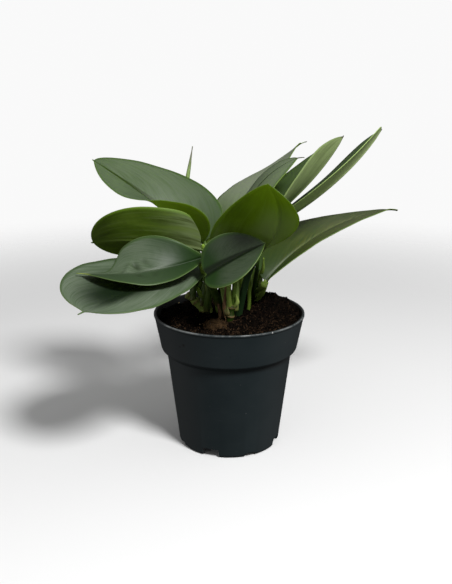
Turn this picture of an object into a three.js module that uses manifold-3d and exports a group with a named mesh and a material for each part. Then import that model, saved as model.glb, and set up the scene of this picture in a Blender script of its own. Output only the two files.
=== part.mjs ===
// A potted moonlight scindapsus: a plastic nursery pot filled with peat, short stem cuttings standing
// in it, and silvery, pointed leaves on grooved stalks.
// Millimetres, +Z up. The origin is the middle of the pot's base, on the surface that it stands on.
// The broad hanging leaves reach out to -X, and the plant is looked at from -Y.

import * as THREE from "three";
import { mergeVertices } from "three/addons/utils/BufferGeometryUtils.js";
import Module from "manifold-3d";

const wasm = await Module();
wasm.setup();

// Driving dimensions
const CLEARANCE = 0.32; // between pieces that touch
const POT = {
  height: 109,
  rimRadius: 60,
  lipHeight: 1.6,
  lipStandsOut: 0.6,
  collarHeight: 28,
  collarFootRadius: 54.5,
  shoulderRadius: 50,
  shoulderDrop: 4,
  baseRadius: 41,
  bevel: 1.5,
  wall: 1.5,
  floorUnder: 4,
  floorThickness: 2,
  footRing: 2.5,
  bossRadius: 9,
  draft: 1, // slant of the ribs under the floor
  edge: 0.5, // small bevels at the rim and the collar
  sides: 48,
};
// Drain notches in the foot
const NOTCHES = {
  pairs: 4,
  depth: 9,
  standsOut: 3,
  big: { angle: -111, width: 14, height: 7 },
  small: { angle: -66, width: 9, height: 3.2 },
};
const SOIL = {
  level: 103,
  mound: 1,
  heap: 6, // rise to the rim along heapWay
  heapWay: [0.5, 0.87],
  lump: 0.7,
  lumpSize: 3.5,
  sides: 32,
  rings: 6,
};
const COIR = { at: [-11, -26, 104.5], size: [9.5, 7.5, 5.5], lump: 0.07, around: 14, upDown: 9 };
const STEM = { sides: 9, steps: 14, scarRise: 0.18, scarSpread: 0.04, topShare: 0.82 };
const BLADE = {
  thickness: 0.9,
  edgeThickness: 0.65,
  ribDepth: 1.1,
  rows: 13,
  // where strips end across a half, from the midrib to the margin
  across: [0, 0.09, 0.38, 0.7, 1],
  body: 0.95, // share of the length that the blade's broad part takes
  widest: 0.4,
  taper: 1.4, // a smaller number makes the blade fuller. heel does so for its base alone
  tail: 1.7, // half width that the drawn-out tip adds
  blunt: 0.5, // how it narrows: a smaller number keeps it wide to its end
  point: 0.45,
  lobe: 0.25, // how far the halves reach back past the base
  pinch: { from: 0, to: 1, keeps: [1, 1] }, // where a blade narrows, and the share each half keeps
  edgeRows: 0.6, // how much closer rows lie at both ends
};
const STALK = {
  radius: 1.8,
  rootRadius: 2.3,
  steps: 8,
  reachIn: 0.3, // share of its reach over which it straightens into the midrib
};

const PEAT = { color: 0x21150e, roughness: 1, metalness: 0 };
const COIR_FIBRE = { color: 0x5a3d22, roughness: 1, metalness: 0 };
const PLASTIC = { color: 0x2b3336, roughness: 0.42, metalness: 0 };
const STEM_GREEN = { color: 0x4d6b22, roughness: 0.5, metalness: 0 };
const LEAF_SILVER = { color: 0x647d60, roughness: 0.55, metalness: 0 };
const YOUNG_GREEN = { color: 0x86a352, roughness: 0.5, metalness: 0 };

// Each stem runs through path, from its end in the peat to its top.
// scars are its rings, where leaves have grown, as shares of its length.
const STEMS = {
  stem_middle: {
    path: [[1, -9, 80], [0, -11, 98], [1, -11, 109], [2, -10, 117]],
    radius: 3.2,
    scars: [0.76, 0.94],
  },
  stem_left: {
    path: [[-14, 13, 80], [-18, 10, 102], [-25, 8, 112], [-34, 8, 121]],
    radius: 3.3,
    scars: [0.6, 0.8, 0.96],
  },
  stem_inner: {
    path: [[-8, 15, 80], [-8, 14, 102], [-10, 13, 114], [-13, 12, 127]],
    radius: 2.9,
    scars: [0.7, 0.95],
  },
  stem_right: {
    path: [[14, 33, 80], [17, 35, 102], [21, 35, 112], [26, 34, 123]],
    radius: 3.2,
    scars: [0.7, 0.95],
  },
};

// Each leaf has a stalk from root, which sets off along rise, and a blade from base to tip.
// arch and sway bow the midrib up and to its right. roll turns the face to its right, at base and tip.
// half holds the greatest half widths, left and right. foldLeft and foldRight lift them, at base and tip.
// curl bends the halves up towards the margin, left and right. All angles are in degrees.
// Other values that a leaf has take the place of those in BLADE and STALK.
const LEAVES = {
  leaf_left_top: {
    root: [-12, 12, 125], rise: [-2, 2, 12], base: [-21, 16, 161], tip: [-106, 16, 227],
    arch: 0, sway: 11, roll: [-34, -30], half: [42, 37],
    foldLeft: [76, -5], foldRight: [48, -12], curl: [18, -14],
    widest: 0.36, taper: 1.15, body: 0.985,
  },
  leaf_left_back: {
    root: [-24, 9, 110], rise: [4, 7, 16], base: [-22, -2, 160], tip: [-110, 16, 161],
    arch: 7, sway: -13, roll: [68, 62], half: [26.5, 24],
    foldLeft: [14, 0], foldRight: [45, 0], curl: [10, 10],
    widest: 0.45, taper: 1.1, heel: 0.2, lobe: -0.6,
  },
  leaf_left_middle: {
    root: [-17.8, 9, 106.5], rise: [1.5, -6, 15], base: [-20, -12, 156], tip: [-111, -47, 153],
    arch: -4, sway: -4, roll: [-25, 19], half: [25, 29],
    foldLeft: [22, -8], foldRight: [65, -8], curl: [-20, 14],
    widest: 0.55, taper: 2.2, pinch: { from: 0.6, to: 0.78, keeps: [1, 0.3] },
  },
  leaf_left_low: {
    root: [-29, 8, 116], rise: [-3, 1, 9], base: [-23, 3, 145], tip: [-102, -95, 137],
    arch: 1.5, sway: 3, roll: [-4, -5], half: [29, 45],
    foldLeft: [-3, 10], foldRight: [-2, 4], curl: [-18, 20],
    widest: 0.64, taper: 1.1, lobe: 0.35,
  },
  leaf_front: {
    root: [-10, 13, 111], rise: [0, -10, 18], base: [-17, -36, 149], tip: [26, -42, 174],
    arch: 1, sway: 1, roll: [24, 36], half: [19, 23],
    foldLeft: [30, 35], foldRight: [8, 4], curl: [20, -12],
    reachIn: 0.12, body: 0.985,
  },
  leaf_centre: {
    root: [4, 9, 90], rise: [6, -8, 23], base: [23, -14, 160], tip: [25, -80, 223],
    arch: 0, sway: -11, roll: [-5, -28], half: [15, 42],
    foldLeft: [56, 0], foldRight: [8, 5], curl: [-18, -18],
    widest: 0.28, taper: 1.1, heel: 0.7, body: 0.985, lobe: 0.4,
  },
  leaf_back_high: {
    root: [-1.2, -11.5, 109], rise: [-2, 1, 22], base: [-12, 40, 165], tip: [66, 96, 234],
    arch: 8, sway: 6, roll: [1, -33], half: [38, 29],
    foldLeft: [8, 4], foldRight: [4, 2], curl: [-8, -4],
    widest: 0.49, taper: 2, reachIn: 0.12,
  },
  leaf_back_low: {
    root: [3.4, -8.5, 112], rise: [2, 3, 18], base: [8, 6, 175], tip: [57, 24, 229],
    arch: 9, sway: -5, roll: [-5, 0], half: [20, 22],
    foldLeft: [0, 3], foldRight: [4, 0], curl: [-18, -14],
    widest: 0.42, taper: 1.35,
  },
  leaf_right_high: {
    root: [20, 35, 110], rise: [1, 1, 16], base: [27, 26, 174], tip: [96, 71, 240],
    arch: 0, sway: 9, roll: [3, -17], half: [21, 22],
    foldLeft: [23, 40], foldRight: [28, 72], curl: [-2, 16],
    taper: 1.5, body: 0.985,
  },
  leaf_right_far: {
    root: [24, 36, 116], rise: [3, 18, 14], base: [37, 42, 170], tip: [126, 63, 246],
    arch: 0, sway: 20, roll: [-9, -11], half: [34, 22],
    foldLeft: [12, 14], foldRight: [36, 31], curl: [-18, -18],
    widest: 0.54, taper: 1.1, body: 0.985,
  },
  leaf_right_low: {
    root: [23, 34, 117], rise: [2, -9, 4], base: [30, 12, 131], tip: [142, 62, 180.5],
    arch: 9, sway: -9, roll: [-14, -28], half: [31.5, 21],
    foldLeft: [58, 16], foldRight: [11, -2], curl: [-20, -20],
    widest: 0.55, taper: 1.3, tail: 6, blunt: 0.35,
  },
};
// The rolled new leaf that stands up behind the others
const NEW_LEAF = {
  root: [-11, 13, 117], rise: [0, 14, 16], base: [-38, 58, 185], tip: [-31.5, 65, 232],
  radius: 3.3,
};

const vec = (p) => new THREE.Vector3(...p);
const radians = THREE.MathUtils.degToRad;
const mix = THREE.MathUtils.lerp;

// A closed geometry as a solid that can be cut and joined.
function solidOf(geometry) {
  const plain = geometry.index ? geometry.toNonIndexed() : geometry.clone();
  const bare = new THREE.BufferGeometry().setAttribute("position", plain.getAttribute("position"));
  const merged = mergeVertices(bare, 1e-3);
  return new wasm.Manifold(
    new wasm.Mesh({
      numProp: 3,
      vertProperties: merged.attributes.position.array,
      triVerts: new Uint32Array(merged.index.array),
    }),
  );
}

// The largest body of a solid as a geometry. Loose scraps of a cut are dropped.
function geometryOf(solid) {
  const bodies = solid.decompose().sort((a, b) => b.volume() - a.volume());
  const mesh = bodies[0].getMesh();
  return new THREE.BufferGeometry()
    .setAttribute("position", new THREE.BufferAttribute(mesh.vertProperties, 3))
    .setIndex(new THREE.BufferAttribute(mesh.triVerts, 1));
}

// A skin over rings of points, each with the same count, closed by a fan at both ends.
// mirrored says for which quads the other diagonal is taken.
function skin(rings, mirrored = () => false) {
  const count = rings[0].length;
  const points = rings.flat();
  const faces = [];
  for (let k = 0; k < rings.length - 1; k++)
    for (let i = 0; i < count; i++) {
      const j = (i + 1) % count;
      const [a, b, c, d] = [k * count + i, k * count + j, (k + 1) * count + j, (k + 1) * count + i];
      if (mirrored(i)) faces.push(a, b, d, b, c, d);
      else faces.push(a, b, c, a, c, d);
    }
  for (const [start, turn] of [[0, 1], [(rings.length - 1) * count, -1]]) {
    const middle = new THREE.Vector3();
    for (let i = 0; i < count; i++) middle.addScaledVector(points[start + i], 1 / count);
    points.push(middle);
    for (let i = 0; i < count; i++) {
      const pair = [start + ((i + 1) % count), start + i];
      faces.push(points.length - 1, ...(turn > 0 ? pair : pair.reverse()));
    }
  }
  return new THREE.BufferGeometry().setFromPoints(points).setIndex(faces);
}

function meshOf(name, solid, look) {
  const mesh = new THREE.Mesh(geometryOf(solid), new THREE.MeshStandardMaterial(look));
  mesh.name = name;
  return mesh;
}

// The pot

// The wall's corners, from floor to rim, as [radius, height]: outside and inside.
const collarFoot = POT.height - POT.collarHeight;
const shoulder = collarFoot - POT.shoulderDrop;
const neck = POT.rimRadius - POT.lipStandsOut;
const floorTop = POT.floorUnder + POT.floorThickness;
const INSIDE = [
  [POT.baseRadius - POT.wall, floorTop],
  [POT.shoulderRadius - POT.wall, shoulder - POT.wall / 2],
  [POT.collarFootRadius - POT.wall, collarFoot],
  [neck - POT.wall, POT.height - POT.edge],
];
const OUTSIDE = [
  [POT.baseRadius - POT.bevel, 0],
  [POT.baseRadius, POT.bevel],
  [POT.shoulderRadius, shoulder],
  [POT.collarFootRadius - POT.edge, collarFoot - POT.edge],
  [POT.collarFootRadius, collarFoot + POT.edge],
  [neck, POT.height - POT.lipHeight - POT.lipStandsOut],
  [POT.rimRadius, POT.height - POT.lipHeight],
  [POT.rimRadius, POT.height - POT.edge],
  [POT.rimRadius - POT.edge, POT.height],
];

function potSolid() {
  const ringInside = POT.baseRadius - POT.bevel - POT.footRing;
  const profile = [
    [0, 0],
    [POT.bossRadius, 0],
    [POT.bossRadius + POT.draft, POT.floorUnder],
    [ringInside - POT.draft, POT.floorUnder],
    [ringInside, 0],
    ...OUTSIDE,
    [neck - POT.wall + POT.edge, POT.height],
    ...INSIDE.toReversed(),
    [0, floorTop],
  ].map(([r, z]) => new THREE.Vector2(r, z));
  let pot = solidOf(new THREE.LatheGeometry(profile, POT.sides).rotateX(Math.PI / 2));
  for (const cut of [NOTCHES.big, NOTCHES.small])
    for (let i = 0; i < NOTCHES.pairs; i++) {
      const notch = new THREE.BoxGeometry(NOTCHES.depth, cut.width, 2 * cut.height)
        .translate(POT.baseRadius + NOTCHES.standsOut - NOTCHES.depth / 2, 0, 0)
        .rotateZ(radians(cut.angle + (360 / NOTCHES.pairs) * i));
      pot = pot.subtract(solidOf(notch));
    }
  return pot;
}

// The peat

function soilTop(x, y) {
  const share = Math.hypot(x, y) / POT.rimRadius;
  const back = Math.max(0, x * SOIL.heapWay[0] + y * SOIL.heapWay[1]) / POT.rimRadius;
  const broad = Math.sin(x / SOIL.lumpSize + 1) * Math.sin(y / SOIL.lumpSize);
  const slanting = Math.sin((1.5 * x - 1.3 * y) / SOIL.lumpSize);
  const lumps = SOIL.lump * (broad + 0.7 * slanting);
  return SOIL.level + SOIL.mound * (1 - share * share) + SOIL.heap * back ** 2 + lumps;
}

// The wall's inner radius at a height.
function innerRadius(z) {
  const k = z > collarFoot ? 2 : z > INSIDE[1][1] ? 1 : 0;
  const [[r0, z0], [r1, z1]] = INSIDE.slice(k, k + 2);
  return mix(r0, r1, (z - z0) / (z1 - z0));
}

function soilSolid() {
  const foot = floorTop + CLEARANCE;
  const heights = [foot, INSIDE[1][1], collarFoot, SOIL.level];
  const wall = heights.map((z) => [innerRadius(z) - 2 * CLEARANCE, z]);
  const top = [];
  for (let i = 1; i <= SOIL.rings; i++) top.push([wall.at(-1)[0] * (1 - i / SOIL.rings), SOIL.level]);
  const profile = [[0, foot], ...wall, ...top].map(([r, z]) => new THREE.Vector2(r, z));
  const geometry = new THREE.LatheGeometry(profile, SOIL.sides).rotateX(Math.PI / 2);
  const places = geometry.getAttribute("position");
  for (let i = 0; i < places.count; i++)
    if (places.getZ(i) > collarFoot + 1) {
      const [x, y] = [places.getX(i), places.getY(i)];
      const z = soilTop(x, y);
      // the wall leans out, so the heaped side is wider
      const wider = innerRadius(z) / innerRadius(SOIL.level);
      places.setXYZ(i, x * wider, y * wider, z);
    }
  return solidOf(geometry);
}

// A clump of coconut fibre, half sunk in the peat.
function coirSolid(grow = 0) {
  const geometry = new THREE.SphereGeometry(1, COIR.around, COIR.upDown);
  const places = geometry.getAttribute("position");
  for (let i = 0; i < places.count; i++) {
    const [x, y, z] = [places.getX(i), places.getY(i), places.getZ(i)];
    const lumps = Math.sin(5 * x + 1) * Math.cos(4 * y) + Math.sin(6 * z + 2 * x);
    const [sx, sy, sz] = COIR.size.map((s) => s * (1 + COIR.lump * lumps) + grow);
    places.setXYZ(i, x * sx, y * sy, z * sz);
  }
  return solidOf(geometry.translate(...COIR.at));
}

// Stems

// A round piece along a curve. radiusAt gives the radius at a share of the length.
// grow makes the piece larger all round, for the room that it needs in its neighbours.
function rod(curve, radiusAt, steps, sides, grow = 0) {
  const frames = curve.computeFrenetFrames(steps, false);
  const rings = [];
  for (let k = 0; k <= steps; k++) {
    const centre = curve.getPointAt(k / steps);
    const radius = radiusAt(k / steps) + grow;
    if (k === 0) centre.addScaledVector(frames.tangents[k], -grow);
    if (k === steps) centre.addScaledVector(frames.tangents[k], grow);
    const ring = [];
    for (let i = 0; i < sides; i++) {
      const angle = (2 * Math.PI * i) / sides;
      ring.push(
        centre
          .clone()
          .addScaledVector(frames.normals[k], radius * Math.cos(angle))
          .addScaledVector(frames.binormals[k], radius * Math.sin(angle)),
      );
    }
    rings.push(ring);
  }
  return solidOf(skin(rings));
}

function stemSolid(stem, grow = 0) {
  const radiusAt = (t) => {
    const taper = mix(1, STEM.topShare, t);
    const rings = stem.scars.map((s) => Math.exp(-(((t - s) / STEM.scarSpread) ** 2)));
    return stem.radius * (taper + STEM.scarRise * Math.max(...rings));
  };
  return rod(new THREE.CatmullRomCurve3(stem.path.map(vec)), radiusAt, STEM.steps, STEM.sides, grow);
}

// Leaves

// The midrib: a bow from base to tip, with the blade's frame at each share of its length.
function midrib(leaf) {
  const [base, tip] = [vec(leaf.base), vec(leaf.tip)];
  const chord = tip.clone().sub(base);
  const along = chord.clone().normalize();
  const up = new THREE.Vector3(0, 0, 1).addScaledVector(along, -along.z).normalize();
  const right = along.clone().cross(up);
  const bow = base.clone().add(tip).multiplyScalar(0.5);
  bow.addScaledVector(up, 2 * leaf.arch).addScaledVector(right, 2 * leaf.sway);
  const curve = new THREE.QuadraticBezierCurve3(base, bow, tip);
  return (s) => {
    const forward = curve.getTangent(s);
    const upright = up.clone().addScaledVector(forward, -up.dot(forward)).normalize();
    const turn = radians(mix(leaf.roll[0], leaf.roll[1], s));
    const face = upright.clone().multiplyScalar(Math.cos(turn));
    face.addScaledVector(forward.clone().cross(upright), Math.sin(turn));
    return { at: curve.getPoint(s), forward, face, side: forward.clone().cross(face) };
  };
}

// The blade's outline: half width at a share of the length, for a greatest half width.
function halfWidth(leaf, greatest, s) {
  const widest = leaf.widest ?? BLADE.widest;
  const taper = leaf.taper ?? BLADE.taper;
  const t = Math.min(s / (leaf.body ?? BLADE.body), 1);
  const power = t < widest ? (leaf.heel ?? taper) : taper;
  const broad = Math.pow((t / widest) ** widest * ((1 - t) / (1 - widest)) ** (1 - widest), power);
  const tail = mix(BLADE.tail, leaf.tail ?? BLADE.tail, s) * (1 - s) ** (leaf.blunt ?? BLADE.blunt);
  return greatest * broad + tail + BLADE.point;
}

// A point of the blade's upper face, and the way out of that face: share u of a half, on its left or right.
function bladePoint(leaf, frame, s, u, hand) {
  const right = hand > 0;
  const greatest = leaf.half[right ? 1 : 0];
  const { from, to, keeps } = leaf.pinch ?? BLADE.pinch;
  const kept = mix(1, keeps[right ? 1 : 0], THREE.MathUtils.smoothstep(s, from, to));
  const width = halfWidth(leaf, greatest * kept, s);
  const fold = radians(mix(...(right ? leaf.foldRight : leaf.foldLeft), s));
  const curl = radians(leaf.curl[right ? 1 : 0]) * (width / greatest);
  const bend = fold + curl * u * 0.5;
  const out = u * width;
  const back = (leaf.lobe ?? BLADE.lobe) * out * u * (1 - s) ** 3;
  const place = frame.at
    .clone()
    .addScaledVector(frame.side, hand * out * Math.cos(bend))
    .addScaledVector(frame.face, out * Math.sin(bend))
    .addScaledVector(frame.forward, -back);
  const slope = fold + curl * u;
  const normal = frame.face.clone().multiplyScalar(Math.cos(slope));
  normal.addScaledVector(frame.side, -hand * Math.sin(slope));
  return { place, normal: u === 0 ? frame.face.clone() : normal };
}

// One closed ring round the blade: its upper face from left to right, then its lower face back.
function bladeRing(leaf, frameAt, s) {
  const frame = frameAt(s);
  const across = BLADE.across;
  const stations = [
    ...across.slice(1).reverse().map((u) => [u, -1]),
    [0, 1],
    ...across.slice(1).map((u) => [u, 1]),
  ];
  const upper = [];
  const lower = [];
  const rib = BLADE.ribDepth * (1 - s) ** 0.8;
  for (const [u, hand] of stations) {
    const { place, normal } = bladePoint(leaf, frame, s, u, hand);
    const thickness = mix(BLADE.thickness, BLADE.edgeThickness, u) + (u === 0 ? rib : 0);
    upper.push(place);
    lower.push(place.clone().addScaledVector(normal, -thickness));
  }
  return [...upper, ...lower.reverse()];
}

// Rings round the stalk, which turn with the blade's frame so that the two join in one skin.
function stalkRings(leaf, frameAt, count, grow = 0) {
  const { at, forward, face } = frameAt(0);
  const root = vec(leaf.root);
  const reach = root.distanceTo(at);
  const curve = new THREE.CubicBezierCurve3(
    root,
    root.clone().add(vec(leaf.rise)),
    at.clone().addScaledVector(forward, -(leaf.reachIn ?? STALK.reachIn) * reach),
    at.clone(),
  );
  const rings = [];
  const up = face.clone();
  for (let k = STALK.steps - 1; k >= 0; k--) {
    const t = k / STALK.steps;
    const way = curve.getTangentAt(t);
    up.addScaledVector(way, -up.dot(way)).normalize();
    const side = way.clone().cross(up);
    const radius = mix(STALK.rootRadius, STALK.radius, Math.min(1, 2 * t)) + grow;
    const centre = curve.getPointAt(t).addScaledVector(up, -BLADE.thickness);
    if (k === 0) centre.addScaledVector(way, -grow);
    const ring = [];
    for (let i = 0; i < count; i++) {
      const angle = Math.PI - (2 * Math.PI * (i + 0.5)) / count;
      ring.push(
        centre
          .clone()
          .addScaledVector(side, radius * Math.cos(angle))
          .addScaledVector(up, radius * Math.sin(angle)),
      );
    }
    rings.unshift(ring);
  }
  return rings;
}

function leafSolid(leaf) {
  const frameAt = midrib(leaf);
  const blade = [];
  for (let k = 0; k <= BLADE.rows; k++) {
    const even = k / BLADE.rows;
    const eased = 0.5 - 0.5 * Math.cos(Math.PI * even);
    blade.push(bladeRing(leaf, frameAt, mix(even, eased, BLADE.edgeRows)));
  }
  const count = blade[0].length;
  const rings = [...stalkRings(leaf, frameAt, count), ...blade];
  const underside = (i) => i >= count / 2;
  return solidOf(skin(rings, underside));
}

// The hole that a stalk needs in the peat.
function stalkRoom(leaf, grow) {
  return solidOf(skin(stalkRings(leaf, midrib(leaf), 4 * BLADE.across.length - 2, grow)));
}

function newLeafSolid(leaf) {
  const [root, base, tip] = [vec(leaf.root), vec(leaf.base), vec(leaf.tip)];
  const along = tip.clone().sub(base).normalize();
  const reach = root.distanceTo(base);
  const stalk = new THREE.CubicBezierCurve3(
    root,
    root.clone().add(vec(leaf.rise)),
    base.clone().addScaledVector(along, -STALK.reachIn * reach),
    base,
  );
  const path = new THREE.CurvePath();
  path.add(stalk);
  path.add(new THREE.LineCurve3(base, tip));
  const whole = new THREE.CatmullRomCurve3(path.getSpacedPoints(12));
  const bladeShare = base.distanceTo(tip) / whole.getLength();
  const radiusAt = (t) => {
    const s = Math.min(1, (t - (1 - bladeShare)) / bladeShare);
    if (s < 0) return mix(STALK.rootRadius, STALK.radius, Math.min(1, 2 * t));
    const swell = mix(STALK.radius, leaf.radius, Math.sin(Math.PI * Math.min(0.5, 2 * s)));
    return Math.max(BLADE.point, swell * (1 - s) ** 0.8);
  };
  return rod(whole, radiusAt, 20, 8);
}

// The whole plant in its pot

const plant = new THREE.Group();

const stems = Object.entries(STEMS).map(([name, stem]) => ({
  name,
  solid: stemSolid(stem),
  room: stemSolid(stem, CLEARANCE),
}));
const leaves = Object.entries(LEAVES).map(([name, leaf]) => ({
  name,
  solid: leafSolid(leaf),
  look: LEAF_SILVER,
}));
leaves.push({ name: "leaf_new", solid: newLeafSolid(NEW_LEAF), look: YOUNG_GREEN });
for (const leaf of leaves)
  for (const { room } of stems) leaf.solid = leaf.solid.subtract(room);

let soil = soilSolid().subtract(coirSolid(2 * CLEARANCE));
soil = soil.subtract(stalkRoom(LEAVES.leaf_centre, 2 * CLEARANCE));
for (const { room } of stems) soil = soil.subtract(room);

plant.add(meshOf("pot", potSolid(), PLASTIC));
plant.add(meshOf("soil", soil, PEAT));
plant.add(meshOf("coir_lump", coirSolid(), COIR_FIBRE));
for (const { name, solid } of stems) plant.add(meshOf(name, solid, STEM_GREEN));
for (const { name, solid, look } of leaves) plant.add(meshOf(name, solid, look));

export default plant;
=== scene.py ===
# The finished look of a potted moonlight scindapsus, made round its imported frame.
# Plant and pot are laid out in millimetres, with +Z up, and become metres where a mesh is made.

import math
import random
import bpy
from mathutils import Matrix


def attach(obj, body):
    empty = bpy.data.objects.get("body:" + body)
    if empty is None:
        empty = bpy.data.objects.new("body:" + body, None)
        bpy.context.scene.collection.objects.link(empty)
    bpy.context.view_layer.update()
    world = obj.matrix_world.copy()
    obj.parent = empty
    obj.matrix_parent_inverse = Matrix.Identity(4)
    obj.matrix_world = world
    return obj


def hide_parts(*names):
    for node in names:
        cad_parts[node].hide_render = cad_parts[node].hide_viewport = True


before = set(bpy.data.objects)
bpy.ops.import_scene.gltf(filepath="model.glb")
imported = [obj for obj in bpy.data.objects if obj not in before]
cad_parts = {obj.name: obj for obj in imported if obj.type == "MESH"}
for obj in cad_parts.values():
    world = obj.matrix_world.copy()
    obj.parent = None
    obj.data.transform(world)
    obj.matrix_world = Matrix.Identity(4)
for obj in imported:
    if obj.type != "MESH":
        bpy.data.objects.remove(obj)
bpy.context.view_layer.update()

from types import SimpleNamespace as Plan

import bmesh
import bpy
import numpy as np
from mathutils import Matrix, Vector, noise

MM = 0.001
TURN = 2 * math.pi

# The pot, as in the frame
POT = Plan(
    height=109.0, rim_radius=60.0, lip_height=1.6, lip_stands_out=0.6,
    collar_height=28.0, collar_foot_radius=54.5, shoulder_radius=50.0, shoulder_drop=4.0,
    base_radius=41.0, bevel=1.5, wall=1.5, floor_under=4.0, floor_thickness=2.0,
    foot_ring=2.5, boss_radius=9.0, draft=1.0, edge=0.5, corner=0.6, corner_share=0.4, corner_steps=3,
    sharp_from=35, sides=160,
)
ON_AXIS = 1e-6  # below this radius a ring of the pot is one point
NOTCHES = Plan(
    pairs=4, depth=9.0, stands_out=3.0, corner=1.1, corner_steps=4,
    cuts=[Plan(angle=-111, width=14.0, height=7.0), Plan(angle=-66, width=9.0, height=3.2)],
)

# The peat's surface, as in the frame, and the crumbs and fibres that lie on it
SOIL = Plan(
    level=103.0, mound=1.0, heap=6.0, heap_way=(0.5, 0.87), lump=0.7, lump_size=3.5,
    rough=1.5, rough_scale=0.22, gritty=1.0, grit_scale=0.8, grit_shift=(7, 3, 1), heaped_up=2.0,
    back_way=(0.45, 0.9), back=(0.35, 0.95), sides=200, rings=66, crowding=0.9, wall_gap=0.1,
    floor_gap=0.3, foot_gap=2.2, waist_gap=2.4, waist_drop=5, near_wall=57, seed=11,
)
# Crumbs and fibres are painted paler towards the front, as light, and crumbs painted duller to the right, as
# shade, from where to where
CRUMBS = Plan(
    count=3000, reach=57.5, least=0.35, more=1.1, raised=0.2, stretch=(0.6, 1.4), uneven=0.25,
    paler=(25, -45), duller=(12, 45), perlite=0.003,
)
PERLITE_TONE = 0.985  # past the tones of peat, and pale in its paint
FIBRES = Plan(
    count=2600, reach=54.0, ends=56.0, length=(1.5, 7), radius=(0.12, 0.3), curl=1.5, paler=(10, -45),
    palest=0.92, starts_over=0.3, over_peat=0.25, drawn_out=0.7, steps=6, corners=(0, 2.09, 4.19),
)
COIR = Plan(
    at=(-11, -26, 104.5), size=(9.5, 7.5, 5.5), fibres=900, length=(1.5, 3.6), radius=(0.09, 0.2),
    curl=1.2, core=0.93, uneven=0.14, uneven_scale=2.2, lowest=-0.15, fluffed=0.12, seed=5,
)

# Stems: the path from the peat to the top, and where along it leaves have left their rings
STEMS = {
    "stem_middle": Plan(
        path=[(1, -9, 80), (0, -11, 98), (1, -11, 109), (2, -10, 117)],
        radius=3.2, scars=[0.76, 0.94], tint=0.0,
    ),
    "stem_left": Plan(
        path=[(-14, 13, 80), (-18, 10, 102), (-25, 8, 112), (-34, 8, 121)],
        radius=3.3, scars=[0.6, 0.8, 0.96], tint=1.4,
    ),
    "stem_inner": Plan(
        path=[(-8, 15, 80), (-8, 14, 102), (-10, 13, 114), (-13, 12, 127)],
        radius=2.9, scars=[0.7, 0.95], tint=1.2,
    ),
    "stem_right": Plan(
        path=[(14, 33, 80), (17, 35, 102), (21, 35, 112), (26, 34, 123)],
        radius=3.2, scars=[0.7, 0.95], tint=1.1,
    ),
}
STEM = Plan(
    steps=90, curve_steps=80, sides=32, top_share=0.82, end_shares=(0.93, 0.72), cut_end=(0.975, 0.995),
    rib=0.05, fine_rib=0.03, scar_rise=0.18, scar_spread=0.04, scar_edge=0.25, scar_edge_spread=0.018,
    dirty_foot=(101, 108),
)
# Dry sheaths on stems: from and to where along one, the way it faces, how far round it goes, how it gapes
SHEATH = Plan(rows=14, columns=11, gap=0.35, waves=0.3, thickness=0.22)
SHEATHS = {"stem_middle": dict(low=0.42, high=0.86, facing=170, spread=55, lift=1.0)}

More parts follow.
